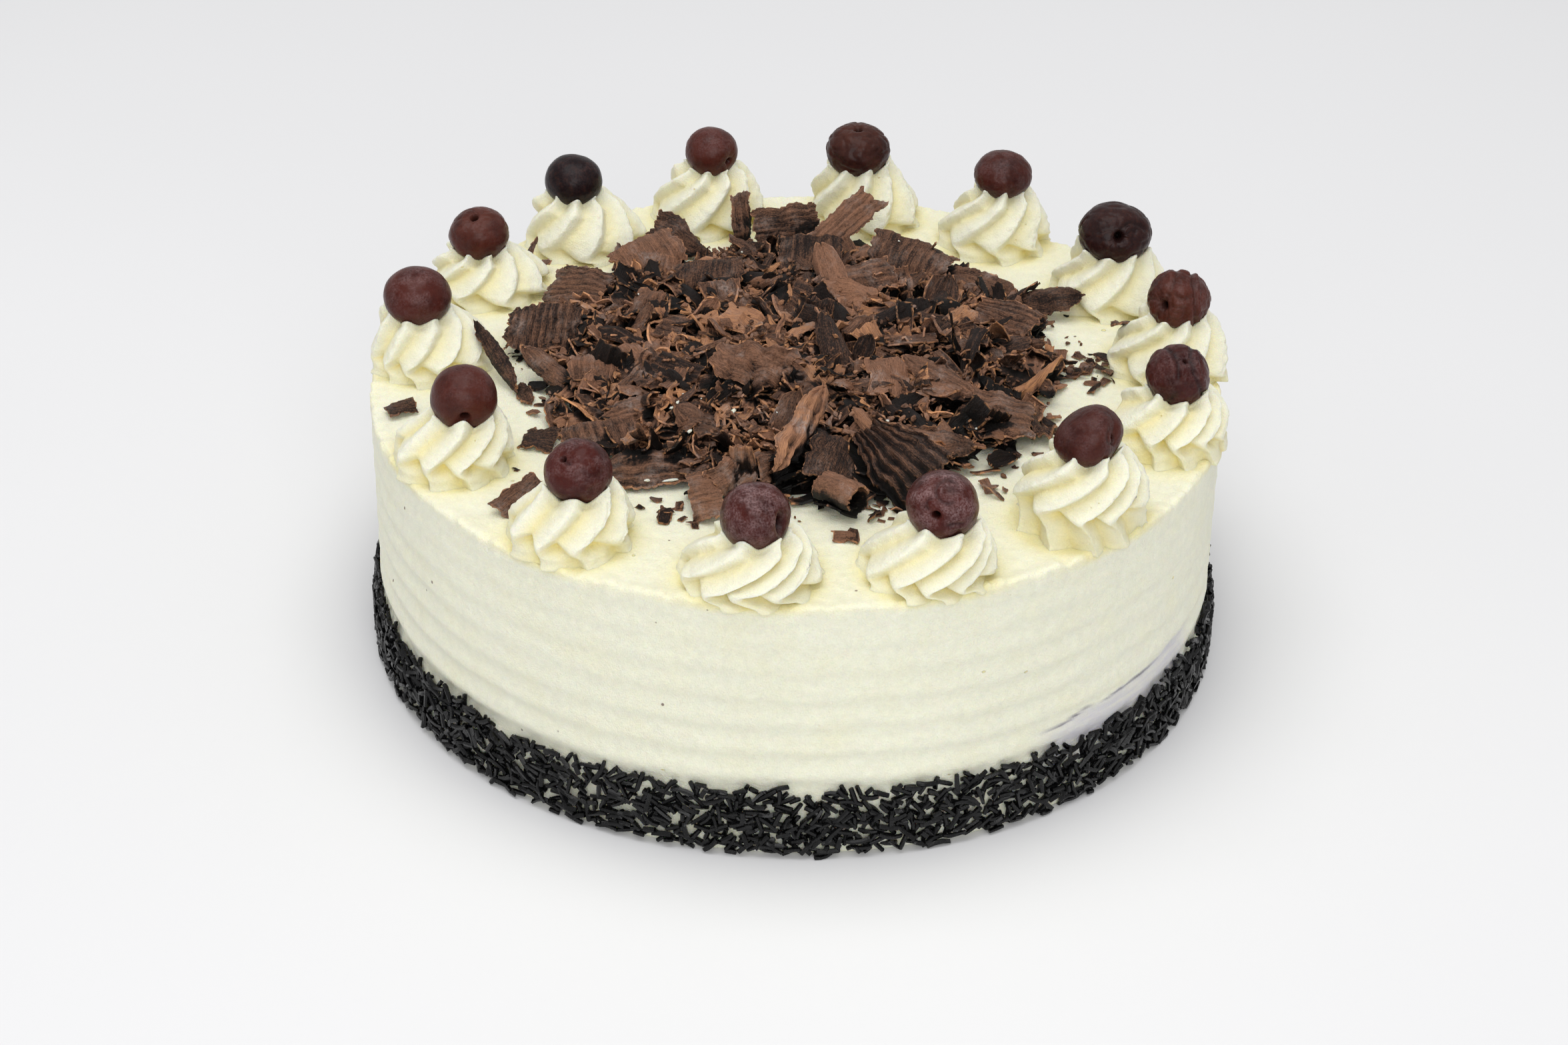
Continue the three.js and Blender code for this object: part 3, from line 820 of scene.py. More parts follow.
def pipeRosette(number, spec):
    chance = random.Random(300 + number)
    perRidge = piping['perRidge']
    ridges = piping['ridges']
    around = ridges * perRidge
    ball, row, column, _ = addBall(around, piping['rows'])
    foot = spec['foot']
    fold = spec['fold']
    rim = spec['lift'] - 3.6
    above = rim - fold
    half = spec['wide'] / 2
    tall = spec['tall'] / 2
    lift = spec['lift']

    def cherryAt(height):
        return half * math.sqrt(max(0.0, 1 - ((height - lift) / tall) ** 2))

    def seat(degrees):
        bend = math.radians(degrees)
        return (half - 0.3) * math.sin(bend), lift - (tall - 0.3) * math.cos(bend)

    low = rim - 2.4
    folded = fold > piping['foldedAbove']
    outer, inner = spec.get('lower', (1.0, 0.85) if folded else (1.0, 0.77))  # shares of the foot
    waist = (outer, 0.5 * outer + 0.48, 0.975) if 'lower' in spec else (1.01, 1.02, 1.025)
    hem = fold + piping['arch']
    crest = [
        (0, -1.3, -44), (0.55 * foot, -1.3, -44), (outer * foot + 0.5, -1.2, -44),
        (outer * foot + 0.25, 0.12 * fold - 0.1, -46), (outer * foot + 0.1, 0.38 * fold, -48),
        (waist[0] * foot, 0.62 * fold, -50), (waist[1] * foot, 0.84 * fold, -53),
        (waist[2] * foot, fold, -55), (1.02 * foot, fold + 0.6, -56), (1.02 * foot, fold + 1.7, -54),
        (0.985 * foot, fold + 0.22 * above, -48), (0.925 * foot, fold + 0.38 * above, -40),
        (0.845 * foot, fold + 0.54 * above, -31), (0.755 * foot, fold + 0.70 * above, -21),
        (0.665 * foot, fold + 0.85 * above, -11), (cherryAt(rim) + 1.2, rim - 0.2, -4),
        (cherryAt(rim + 0.8) + 0.75, rim + 0.75, -1), (cherryAt(rim + 1) + 0.35, rim + 1.0, 0),
        (cherryAt(rim + 0.6) - 0.1, rim + 0.5, 1), (cherryAt(rim - 1.5) - 0.3, rim - 1.5, 1),
        (*seat(42), 1), (*seat(28), 1), (*seat(12), 1), (0, lift - tall + 0.3, 1),
    ]
    recess = min(inner, 0.81) - 0.05
    valley = [
        (0, -1.3, -44), (0.55 * foot, -1.3, -44), (inner * foot + 0.5, -1.2, -44),
        (inner * foot + 0.3, 0.12 * fold - 0.1, -46), (inner * foot + 0.2, 0.38 * fold, -48),
        ((inner - 0.01) * foot, 0.66 * fold, -50), (recess * foot, 0.86 * fold + 0.4 * piping['arch'], -53),
        (recess * foot, hem - 0.6, -55), (0.805 * foot, hem, -56), (0.832 * foot, hem + 0.9, -54),
        (0.80 * foot, hem + 0.2 * (above - 2), -48), (0.735 * foot, hem + 0.32 * (above - 2), -40),
        (0.665 * foot, hem + 0.44 * (above - 2), -31), (0.585 * foot, hem + 0.56 * (above - 2), -21),
        (0.53 * foot, hem + 0.67 * (above - 2), -11), (cherryAt(low) + 1.1, low - 0.5, -4),
        (cherryAt(low) + 0.7, low + 0.1, -1), (cherryAt(low) + 0.3, low + 0.35, 0),
        (cherryAt(low), low + 0.05, 1), (cherryAt(low - 1.2) - 0.3, low - 1.2, 1),
        (*seat(38), 1), (*seat(25), 1), (*seat(11), 1), (0, lift - tall + 0.3, 1),
    ]
    spots = evenPlaces(crest, piping['rows'] + 1)
    crestLine = smoothLine(crest, spots)[row]
    valleyLine = smoothLine(valley, spots)[row]
    spot = spots[row]

    # share of the way from one crest to the next, closer together near the crests
    ridge = column // perRidge
    share = (column % perRidge) / perRidge
    share = share - 0.6 / (2 * math.pi) * np.sin(2 * math.pi * share)
    off = np.minimum(share / piping['valleyAt'], (1 - share) / (1 - piping['valleyAt']))  # 1 in a valley
    deep = dip(off)
    if 'lower' in spec:  # the lower tier has sharp pleats
        under = np.clip(off, 0, 1) ** 0.75
    else:  # under the arches a tongue of cream comes out of each nose
        under = dip(np.minimum(share / 0.84, (1 - share) / 0.16))
    deep = under + (deep - under) * smoothStep(spot, 4.6, 6.2)

    def perCrest(low, high):  # a value for each crest, blended between them
        values = np.array([chance.uniform(low, high) for _ in range(ridges)])
        blend = smoothStep(share, 0.15, 0.85)
        return values[ridge] * (1 - blend) + values[(ridge + 1) % ridges] * blend

    noseUp = perCrest(-0.4, 0.8) if folded else perCrest(-0.6, 0.5)
    rimUp = perCrest(-0.9, 0.9)
    swell = perCrest(-0.6, 0.3)
    grooves = perCrest(0.8, 1.08)

    onUpper = smoothStep(spot, 7, 9) * (1 - smoothStep(spot, 17, 19))
    deep = np.clip(deep * grooves, 0, 1.15)
    radius = crestLine[:, 0] + (valleyLine[:, 0] - crestLine[:, 0]) * deep
    level = crestLine[:, 1] + (valleyLine[:, 1] - crestLine[:, 1]) * deep
    level += noseUp * bell(spot - 8, 2.2) + rimUp * bell(spot - 16.5, 1.6) * (1 - deep)
    radius += swell * onUpper

    hang = piping['lean'] * (1 - deep) * onUpper * (1 - 0.6 * smoothStep(spot, 12, 16))
    near = crestLine[:, 2] / -51  # 1 at the foot, 0 at the rim
    footTurn = spec['footTurns'][ridge] * (1 - share) + spec['footTurns'][ridge + 1] * share
    rimTurn = spec['rimTurns'][ridge] * (1 - share) + spec['rimTurns'][ridge + 1] * share
    turn = np.radians(rimTurn + (footTurn - rimTurn) * near + hang * (1 - near))

    # torn crest edges
    x = np.cos(turn)
    y = np.sin(turn)
    flat = beside(radius * x, radius * y, level)
    rip = lumps(flat, 1.5, number * 3.1) + 0.5 * lumps(flat, 0.7, number * 1.7)
    onCrest = (1 - np.clip(deep, 0, 1)) ** 3 * onUpper
    away = wrapAngle(np.degrees(turn) - piping['tornAt'])
    torn = spec['torn'] * (0.3 + 1.3 * bell(away, piping['tornWidth']))
    radius = radius + 1.0 * torn * rip * onCrest
    level = level - 0.6 * torn * np.abs(rip) * onCrest

    lean = smoothStep(level, fold, rim) * spec['shift']
    lean = np.where(spot > 17, spec['shift'], lean)
    points = beside(radius * x + lean, radius * y, level)

    # soft lumps in the piped cream
    free = smoothStep(spot, 2, 4) * (1 - smoothStep(spot, 17.5, 19))
    lump = piping['lumps'] * lumps(points, 6, number * 2.3) + 0.2 * lumps(points, 2.2, number)
    lump += piping['grit'] * lumps(points, 0.9, number + 0.5)
    points[:, 0] += lump * x * free
    points[:, 1] += lump * y * free
    points[:, 2] += 0.5 * lump * free + 0.09 * lumps(points, 1.0, 4.0) * free

    if 'horn' in spec:
        azimuth, height = spec['horn']
        away = np.arctan2(points[:, 1], points[:, 0] - spec['shift'])
        away = wrapAngle(np.degrees(away) - azimuth)
        peak = bell(away, 8) * bell(spot - 16.8, 1.3)
        points[:, 2] += height * peak
        points[:, :2] *= (1 + 0.04 * height * peak)[:, None]

    points += np.array([*spec['middle'], cakeHeight + 0.3])
    points[:, 2] = np.maximum(points[:, 2], cakeHeight - 1.0)
    far = np.linalg.norm(points[:, :2], axis=1)
    points[:, :2] *= (1 - 0.7 * np.clip(far - piping['outermost'], 0, None) / far)[:, None]
    writePoints(ball, points)
    shadeSmooth(ball)
    # painted shade in the valleys, under the hem, low down and in the cherry's seat, and a painted highlight
    # along the crests
    sunk = np.clip(deep, 0, 1)
    paintedHollowShade = 0.44 * sunk**2 * onUpper * (1 - 0.5 * smoothStep(spot, 12, 16))
    paintedHollowShade = np.maximum(paintedHollowShade, (0.1 + 0.9 * sunk) * bell(spot - 6.7, 1.1))
    paintedHollowShade = np.maximum(paintedHollowShade, (0.55 if folded else 0.85) * sunk**2 * (1 - smoothStep(spot, 5.5, 6.5)))
    paintedHollowShade = np.maximum(paintedHollowShade, 0.3 * smoothStep(spot, 18.2, 19.5))
    setMark(ball, 'paintedHollowShade', paintedHollowShade)
    setMark(ball, 'crest', (1 - sunk) ** 2 * onUpper)
    name = f'{number:02d}'
    finishPiece(ball, f'pipedRosette{name}', pipedCream, 'piped_cream', f'rosette_{name}')


for index, spec in enumerate(toppings):
    pipeRosette(index + 1, spec)
print("rosettes piped")


# the cherries

cherries = {
    'around': 88,
    'rows': 60,
    'hole': 0.13,  # radians from the stalk's axis
    'holeDepth': 0.36,
    'shoulder': 0.13,
    'seam': 0.02,  # depth of the seam down one side
    'crumple': 0.035,
}
# by number: the stalk's hole, size and stretch; dents: direction, height, width, depth; arcs: direction,
# height, radius, width, depth, and the part of the ring that shows
cherryForms = {
    1: {'hole': (1.1, 1.0), 'dents': ((-60, 62, 22, 0.02), (170, 10, 16, 0.02))},
    2: {'hole': (0.7, 1.0),
        'dents': ((-108, 50, 9, 0.05), (-60, -8, 10, 0.04), (-40, 20, 14, 0.05), (-90, -38, 26, 0.05)),
        'arcs': ((-108, 58, 14, 3.5, 0.04, 200, 300),)},
    3: {'hole': (1.35, 1.8), 'dents': ((-95, 74, 30, 0.07), (-84, 22, 10, 0.02), (-72, 40, 9, 0.02))},
    4: {'hole': (1.0, 0.9),
        'dents': ((-80, 58, 17, 0.05), (-60, -28, 16, 0.04)),
        'arcs': ((-78, 56, 21, 4, 0.05, 20, 300), (-70, -22, 20, 3.5, 0.05, 30, 150),
                 (-112, 30, 12, 3, 0.03, 90, 250))},
    5: {'hole': (0.8, 1.6), 'taper': 0.17, 'sway': 0.13,
        'dents': ((-35, 30, 16, 0.1), (170, 55, 42, 0.16), (-10, 62, 30, 0.1), (-20, -20, 30, 0.1)),
        'arcs': ((-48, 20, 15, 3, 0.03, 60, 300),)},
    6: {'hole': (0.5, 1.0),
        'dents': ((-70, 58, 10, 0.1), (-62, 30, 9, 0.09), (-68, 5, 9, 0.07), (-112, 20, 20, 0.04)),
        'arcs': ((-160, 10, 62, 5, 0.05, 0, 360), (-5, 20, 50, 5, 0.05, 0, 360))},
    7: {'hole': (1.0, 1.3),
        'dents': ((-130, 8, 22, 0.06), (-84, 0, 14, 0.05)),
        'arcs': ((0, 5, 62, 4, 0.09, 0, 360), (-86, 48, 18, 4, 0.05, 180, 340),
                 (170, 20, 62, 5, 0.04, 0, 360))},
    8: {'hole': (1.0, 1.4),
        'dents': ((-55, 30, 14, 0.07), (-120, 30, 24, 0.03)),
        'arcs': ((-60, 20, 26, 4, 0.06, 0, 180),)},
}


def directionOf(azimuth, height):
    east = math.radians(azimuth)
    rise = math.radians(height)
    return np.array([math.cos(east) * math.cos(rise), math.sin(east) * math.cos(rise), math.sin(rise)])


def shapeCherry(number, spec):
    ball, _, _, unit = addBall(cherries['around'], cherries['rows'])
    polar = np.arccos(np.clip(unit[:, 2], -1, 1))
    azimuth = np.arctan2(unit[:, 1], unit[:, 0])
    form = cherryForms.get(number, {})
    seed = number * 4.7
    holeSize, stretch = form.get('hole', (1.0, 1.1))
    oval = polar * np.sqrt(np.cos(azimuth) ** 2 / stretch**2 + np.sin(azimuth) ** 2) / holeSize
    size = 1 - cherries['shoulder'] * bell(polar, 0.42)
    pit = np.exp(-(oval / cherries['hole']) ** 4)
    size -= cherries['holeDepth'] * pit
    size -= cherries['seam'] * bell(azimuth, 0.16) * np.sin(polar)
    size += cherries['crumple'] * lumps(unit, 0.9, seed) + 0.008 * lumps(unit, 0.3, seed + 1)
    wrinkle = spec['wrinkle']
    size -= 0.045 * wrinkle * bell(lumps(unit, 0.5, seed + 2), 0.10)
    size -= 0.030 * wrinkle * bell(lumps(unit, 0.28, seed + 5), 0.12)
    size += 0.04 * wrinkle * lumps(unit, 0.42, seed + 8)
    points = unit * size[:, None]
    stalkAzimuth, stalkHeight = spec['stalk']
    toward = turnMatrix(stalkAzimuth, stalkHeight - 90)
    points = points @ toward.T
    facing = unit @ toward.T
    creased = np.zeros(len(points))
    for east, rise, width, depth in form.get('dents', ()):
        apart = np.degrees(np.arccos(np.clip(facing @ directionOf(east, rise), -1, 1)))
        points *= (1 - depth * bell(apart, width))[:, None]
        creased = np.maximum(creased, 0.4 * bell(apart, width * 0.8))
    for east, rise, ring, width, depth, fromTurn, toTurn in form.get('arcs', ()):
        middle = directionOf(east, rise)
        apart = np.degrees(np.arccos(np.clip(facing @ middle, -1, 1)))
        aside = unitOf(np.cross((0, 0, 1), middle))
        over = np.cross(middle, aside)
        along = np.degrees(np.arctan2(facing @ over, facing @ aside)) % 360
        shown = smoothStep(along, fromTurn, fromTurn + 25) * (1 - smoothStep(along, toTurn - 25, toTurn))
        groove = bell(apart - ring, width) * shown
        bulge = bell(apart - ring + 2 * width, width) * shown
        points *= (1 - depth * groove + 0.6 * depth * bulge)[:, None]
        creased = np.maximum(creased, groove)
    points[:, :2] *= (1 - form.get('taper', 0) * points[:, 2])[:, None]
    points[:, 0] += form.get('sway', 0) * points[:, 2]
    reach = np.abs(points).max(axis=0)
    points = points / reach * [spec['wide'] / 2, spec['wide'] / 2, spec['tall'] / 2]
    frostSide = 0.55 + 0.45 * points[:, 2] / (spec['tall'] / 2)
    points += np.array([*spec['middle'], cakeHeight + 0.3 + spec['lift']])
    points[:, 0] += spec['shift']
    writePoints(ball, points)
    shadeSmooth(ball)
    # ripe: the cherry's own darkness plus painted shade in its dents and creases; hole: painted shade inside
    # the stalk's hole
    setMark(ball, 'ripe', np.clip(spec['ripe'] + 0.45 * creased, 0, 1))
    setMark(ball, 'brown', spec['brown'] * np.clip(0.6 + 0.8 * bell(polar, 0.7), 0, 1))
    setMark(ball, 'hole', np.exp(-(oval / (cherries['hole'] * 1.15)) ** 4))
    setMark(ball, 'frost', spec['frost'] * np.clip(frostSide, 0.15, 1) * (1 - 0.7 * creased))
    name = f'{number:02d}'
    finishPiece(ball, f'sourCherry{name}', cherrySkin, 'cherry_skin', f'cherry_{name}')


for index, spec in enumerate(toppings):
    shapeCherry(index + 1, spec)
print("cherries set")


# the heap of shavings

def cut(length, width, outline='plate', **more):
    # more: ribs (direction, spacing, depth), the bend across and along and the twist in degrees,
    # how rough, the cells of its grid, and the height of its lower end above the cake
    return {'size': (length, width), 'outline': outline, **more}


def flake(x, y, length, width, turn, slope, tilt, tone, outline='plate', **more):
    # its middle, size, turn, slope along and tilt across in degrees, and a tone from 0 dark to 1 pale
    place = {'at': (x, y), 'turn': turn, 'slope': slope, 'tilt': tilt, 'tone': tone}
    return {**place, **cut(length, width, outline, **more)}


flakes = [
    flake(-17, 76, 17, 5.5, 100, 62, 8, 0.35, ribs=('along', 2.2, 0.4)),
    flake(-4, 75, 18, 13, 12, 4, 64, 0.3, ribs=('along', 1.5, 0.4)),
    flake(11, 69, 31, 9, 42, 24, 30, 0.65, ribs=('along', 1.8, 0.4)),
    flake(-34, 65, 19, 11, -30, -14, 38, 0.2, 'splinter'),
    flake(-25, 37, 19, 12, -6, 3, 22, 0.2, ribs=('across', 1.6, 0.15)),
    flake(-62, 38, 18, 15, -24, 10, 20, 0.4, ribs=('along', 2.0, 0.5)),
    flake(-43, 54, 19, 12, 28, 16, 30, 0.65, ribs=('across', 2.0, 0.2)),
    flake(-69, 12, 20, 15, -10, 5, 34, 0.3, ribs=('across', 2.2, 1.0)),
    flake(-65.5, -9, 24, 7, -50, -9, 26, 0.45, 'leaf', across=130),
    flake(-54, -15, 12, 11, 4, 0, 24, 0.55, ribs=('across', 1.7, 0.5), across=12, along=6, low=6.4),
    flake(-42, -33, 17, 7.5, 24, 5, 20, 0.5, 'leaf', ribs=('along', 2.0, 0.3)),
    flake(-49, -44, 20, 12, 18, 4, 26, 0.45, ribs=('across', 2.6, 1.1)),
    flake(-38, -56, 29, 12, 6, 3, 20, 0.4, 'leaf', ribs=('along', 3.2, 0.7)),
    flake(-11, -20, 21, 15, -16, -4, 26, 0.6, 'crumpled', across=100, rough=2.6, twist=40),
    flake(1, -54, 27, 9.5, 62, 26, 48, 1.0, 'leaf', across=150, ribs=('along', 3.1, 1.2), twist=50,
          rough=1.7, along=50),
    flake(9, -60, 17, 13, 78, 12, 36, 0.15),
    flake(25, -58, 25, 19, -52, -10, 36, 0.12, 'shell', ribs=('along', 3.1, 1.9), across=80, along=46),
    flake(52, -30, 19, 15, -6, -3, 18, 0.5, ribs=('along', 2.6, 0.4)),
    flake(37, -18, 24, 8, -42, -6, 16, 0.55, 'leaf', ribs=('along', 2.2, 0.35)),
    flake(38, -45, 15, 9, -12, 2, 16, 0.3, 'leaf'),
    flake(57, 22, 17, 12, -28, -4, 24, 0.45, 'shell', ribs=('along', 2.1, 0.7)),
    flake(16, 36, 23, 9, 24, 5, 26, 0.45, ribs=('along', 2.4, 0.3)),
    flake(3, 52, 18, 13, -4, 2, 30, 0.15, ribs=('across', 2.6, 0.4)),
    flake(31, 54, 24, 13, -22, -6, 26, 0.3, ribs=('across', 2.6, 0.3)),
    flake(50, 47, 24, 8, -26, -4, 22, 0.4, 'leaf'),
    flake(69, 38, 19, 9, 4, 8, 30, 0.15, 'leaf'),
    flake(-15, -63, 14, 9, 50, 10, 40, 0.6, 'crumpled'),
    flake(-22, -70, 14, 8, -80, -26, 10, 0.7, ribs=('across', 1.7, 0.4)),
    flake(11, -71, 11, 27, -42, 0, 0, 0.7, across=430, low=3.2),
    flake(62, -6, 18, 8, 36, -4, 16, -0.15, 'splinter'),
]
leaners = [  # flakes at the rosettes
    flake(-80, -3.5, 24, 5, -54, -23, 30, 0.15, 'leaf', across=130, twist=40, low=0.5),
    flake(-72, -14, 9, 4, -70, -6, 14, 0.2, 'leaf', low=0.2),
    flake(51.6, 80, 9, 4.5, 80, 62, 10, 0.2, 'leaf', low=0.0),
    flake(48, 86, 7, 5, 10, 20, 40, 0.05, low=0.0),
    flake(88.2, 15.5, 7, 4, -34, 6, -24, 0.2, low=8.6),
    flake(102.5, 52, 4, 2.6, 30, 10, -30, 0.3, low=4.6),
    flake(-77, 61, 12, 2.4, 70, 24, 10, 0.3, 'splinter', low=2.4),
    flake(-74.5, 58, 9, 2.4, 40, 14, 20, 0.5, 'leaf', low=0.6),
    flake(-63.8, 56, 9, 4, -20, 10, 24, 0.2, 'leaf', low=0.4),
]

strays = [  # shavings that lie on the cream by themselves
    flake(-65.9, -38.5, 9.5, 8.5, -14, 3, 10, 0.0),
    flake(-68.6, -69, 14, 6.5, 52, 10, 24, 0.3),
    flake(-103.5, -23.5, 8, 5, 24, 5, 14, 0.1),
]

heap = {
    'radius': 72.0,
    'height': 9.5,
    'flakeSink': 0.1,
    'flakeCell': (0.6, 0.45),  # of a large flake's grid
    # loose chips on the cream: middle, spread and number
    'scatter': ((-69, -18, 6, 5), (-71, -52, 1.5, 2), (-31, -72, 5, 7), (-37, -69, 4, 3), (77, 42, 5, 8),
                (82, 38, 4, 4), (83, 53, 3, 3), (73, 5, 7, 16), (82, 2, 6, 14), (82, 14, 6, 10),
                (57, 74, 4, 4), (22, -69, 6, 14), (51, -58, 4, 5), (-75, 10, 6, 8), (14, -82, 2, 2),
                (-26, -78, 2, 2), (-64, 55, 5, 5), (60, -45, 6, 6)),
    'thick': 0.6,
    'mound': (240, 84),  # points round it and rows
    'moundFoot': 8,  # rows of its underside
    'moundShare': 0.9,  # of the heap's radius
    'mediumCount': 270,  # of each of the two sorts
    'chipCount': 720,
    'splinterCount': 460,
    'crumbCount': 1150,
    'speckCount': 17,
    'smears': ((-31, -60, 1.6), (-37, -61, 0.6)),  # middle and length
    'looseScales': (0.35, 0.5, 0.7, 1.0),
    'crumbScales': (0.4, 0.5, 0.7, 0.9, 1.2, 1.6),
    'speckScales': (0.25, 0.35, 0.45, 0.6, 0.75),
    'gapShades': (('tone', -1.4), ('edge', -0.95)),  # how much darker the gaps are, a painted shade
}


def heapOutline(angle):
    wave = 0.5 * np.sin(3 * angle + 0.6) + 0.3 * np.sin(7 * angle + 1.2) + 0.2 * np.sin(13 * angle)
    return heap['radius'] * (1 + 0.04 * wave) + 5 * np.sin(angle)


def moundShare(x, y):
    return np.hypot(x, y) / heapOutline(np.arctan2(y, x))


def moundRise(x, y):
    share = np.clip(moundShare(x, y), 0, 1)
    return heap['height'] * (1 - share**3) + 1


def narrowRim(share, cells, size):  # the outermost lines of a grid move close to its border
    if cells < 3:
        return share
    inner = 1 - 2 / cells
    rim = 1 - min(0.7 / size, 1 / cells)
    return np.where(np.abs(share) > inner + 0.01, share, share * rim / inner)


def cutFlake(spec, seed, cells, thick):
    deselectAll()
    bpy.ops.mesh.primitive_grid_add(x_subdivisions=cells[0], y_subdivisions=cells[1], size=2 * mm)
    sheet = bpy.context.object
    along, across, _ = readPoints(sheet).T
    length, width = spec['size']
    along = narrowRim(along, cells[0], length)
    across = narrowRim(across, cells[1], width)
    border = np.maximum(np.abs(along), np.abs(across)) > 0.999
    outline = spec['outline']
    seat = beside(along * length / 2, across * width / 2, np.full_like(along, seed * 3.3))
    line = seat * [1, 0, 1]
    side = seat * [0, 1, 1]

    # outline, with ragged ends
    wide = np.ones_like(along)
    if outline == 'leaf':
        wide = np.clip(1 - np.abs(along) ** 2.4, 0.03, 1) ** 0.62
    elif outline == 'splinter':
        wide = 1 - 0.8 * smoothStep(along, -0.6, 1.0)
    elif outline == 'shell':
        wide = 0.5 + 0.5 * smoothStep(along, -1.0, 0.4)
    wide = wide * (1 + 0.22 * lumps(line, 5, seed) + 0.14 * lumps(line, 1.6, seed + 1) * np.sign(across))
    ends = np.abs(along) ** 4
    x = seat[:, 0] * (1 + ends * (0.16 * lumps(side, 3.5, seed + 2) + 0.13 * lumps(side, 1.2, seed + 3)))
    y = seat[:, 1] * wide
    jagged = np.random.RandomState(int(seed * 100)).uniform(-0.34, 0.34, (2, len(x)))
    x = x + jagged[0] * border
    y = y + jagged[1] * border

    # the bend across and along, then ribs, waves and a twist
    bend = math.radians(spec.get('across', 42 + 26 * math.sin(seed * 5)))
    curve = width / bend
    around = y / curve
    roll = curve * (1 + (0.22 * around / math.pi if bend > 4 else 0 * around))  # a full roll is a spiral
    z = roll * np.cos(around) - curve * math.cos(min(bend / 2, math.pi))
    y = roll * np.sin(around)
    bow = math.radians(spec.get('along', 16 + 14 * math.sin(seed * 7 + 1)))
    z = z - length * bow / 8 * (along**2)
    # edge: lighter along the border, partly the broken edges' own warm colour and partly a painted
    # highlight; on ribs a painted highlight on the crests and a painted shade in the valleys
    edge = 0.95 * border
    if 'ribs' in spec:
        direction, pitch, depth = spec['ribs']
        run = seat[:, 1] if direction == 'along' else seat[:, 0]
        phase = run / pitch + 0.28 * lumps(seat, 7, seed + 4)
        wave = 1 - np.abs(np.sin(math.pi * phase)) ** 0.8
        edge = np.where(border, edge, 0.5 * wave - 0.6 * (1 - wave) * min(1.0, depth / 0.7))
        wave = wave * (0.75 + 0.5 * lumps(seat, 4, seed + 5))
        z = z + depth * (wave - 0.4)
    rough = spec.get('rough', {'crumpled': 2.3}.get(outline, 0.75 if 'ribs' in spec else 1.0))
    z = z + rough * lumps(seat, 4.2, seed + 6) + 0.4 * rough * lumps(seat, 1.7, seed + 7)
    twist = math.radians(spec.get('twist', 14)) * math.sin(seed * 3 + 2) * along
    y, z = y * np.cos(twist) - z * np.sin(twist), y * np.sin(twist) + z * np.cos(twist)
    writePoints(sheet, beside(x, y, z))
    grain = beside(seat[:, 0] * 0.06, seat[:, 1], np.full_like(x, seed * 3.1))
    if 'ribs' in spec and spec['ribs'][0] == 'across':
        grain = grain[:, [1, 0, 2]] * [0.06, 16.0, 1]
    setMark(sheet, 'edge', edge)
    setMark(sheet, 'grain', grain)
    applyModifier(sheet, 'SOLIDIFY', thickness=thick * mm, offset=0.0)
    return sheet


def layFlake(spec, ground):
    # the lowest corner stands on the ground
    slope = math.radians(abs(spec['slope']))
    tilt = math.radians(abs(spec['tilt']))
    reach = spec['size'][0] / 2 * math.sin(slope) + spec['size'][1] / 2 * math.sin(tilt)
    matrix = turnMatrix(spec['turn'], spec['slope'], spec['tilt'])
    return matrix, np.array([*spec['at'], cakeHeight + ground + reach])


def clearOfRosettes(x, y, margin=0.0):
    return all(math.hypot(x - spec['middle'][0], y - spec['middle'][1]) > spec['foot'] + margin
               for spec in toppings)


gridCell = 0.5
gridReach = 100  # from the middle
gridCount = int(2 * gridReach / gridCell)
reached = np.full((gridCount, gridCount), cakeHeight)  # highest point so far in each cell


def cellsOf(points):
    return ((points[:, :2] + gridReach) / gridCell).astype(int)


def noteHeights(points):
    cells = cellsOf(points)
    good = ((cells >= 0) & (cells < gridCount)).all(axis=1)
    cells = cells[good]
    np.maximum.at(reached, (cells[:, 0], cells[:, 1]), points[good, 2])


heapParts = []  # each piece of the heap with its points


def paintShadeInGaps():  # painted shade: what lies below its neighbours is darker
    for piece, points in heapParts:
        column, row = np.clip(cellsOf(points), 2, gridCount - 3).T
        cover = np.zeros(len(points))
        for right, back in ((0, 0), (2, 0), (-2, 0), (0, 2), (0, -2)):
            cover += np.clip(reached[column + right, row + back] - points[:, 2], 0, 5)
        cover = smoothStep(cover / 5, 0.3, 2.3)
        for name, change in heap['gapShades']:
            layer = piece.data.attributes[name].data
            values = np.empty(len(points))
            layer.foreach_get('value', values)
            layer.foreach_set('value', values + change * cover * (1 if name == 'tone' else values))


def heightAt(x, y):
    column = int((x + gridReach) / gridCell)
    row = int((y + gridReach) / gridCell)
    return reached[column - 1:column + 2, row - 1:row + 2].max()


def liftAbove(piece, points, lowest):  # no point lies below this
    points[:, 2] = np.maximum(points[:, 2], lowest)
    writePoints(piece, points)


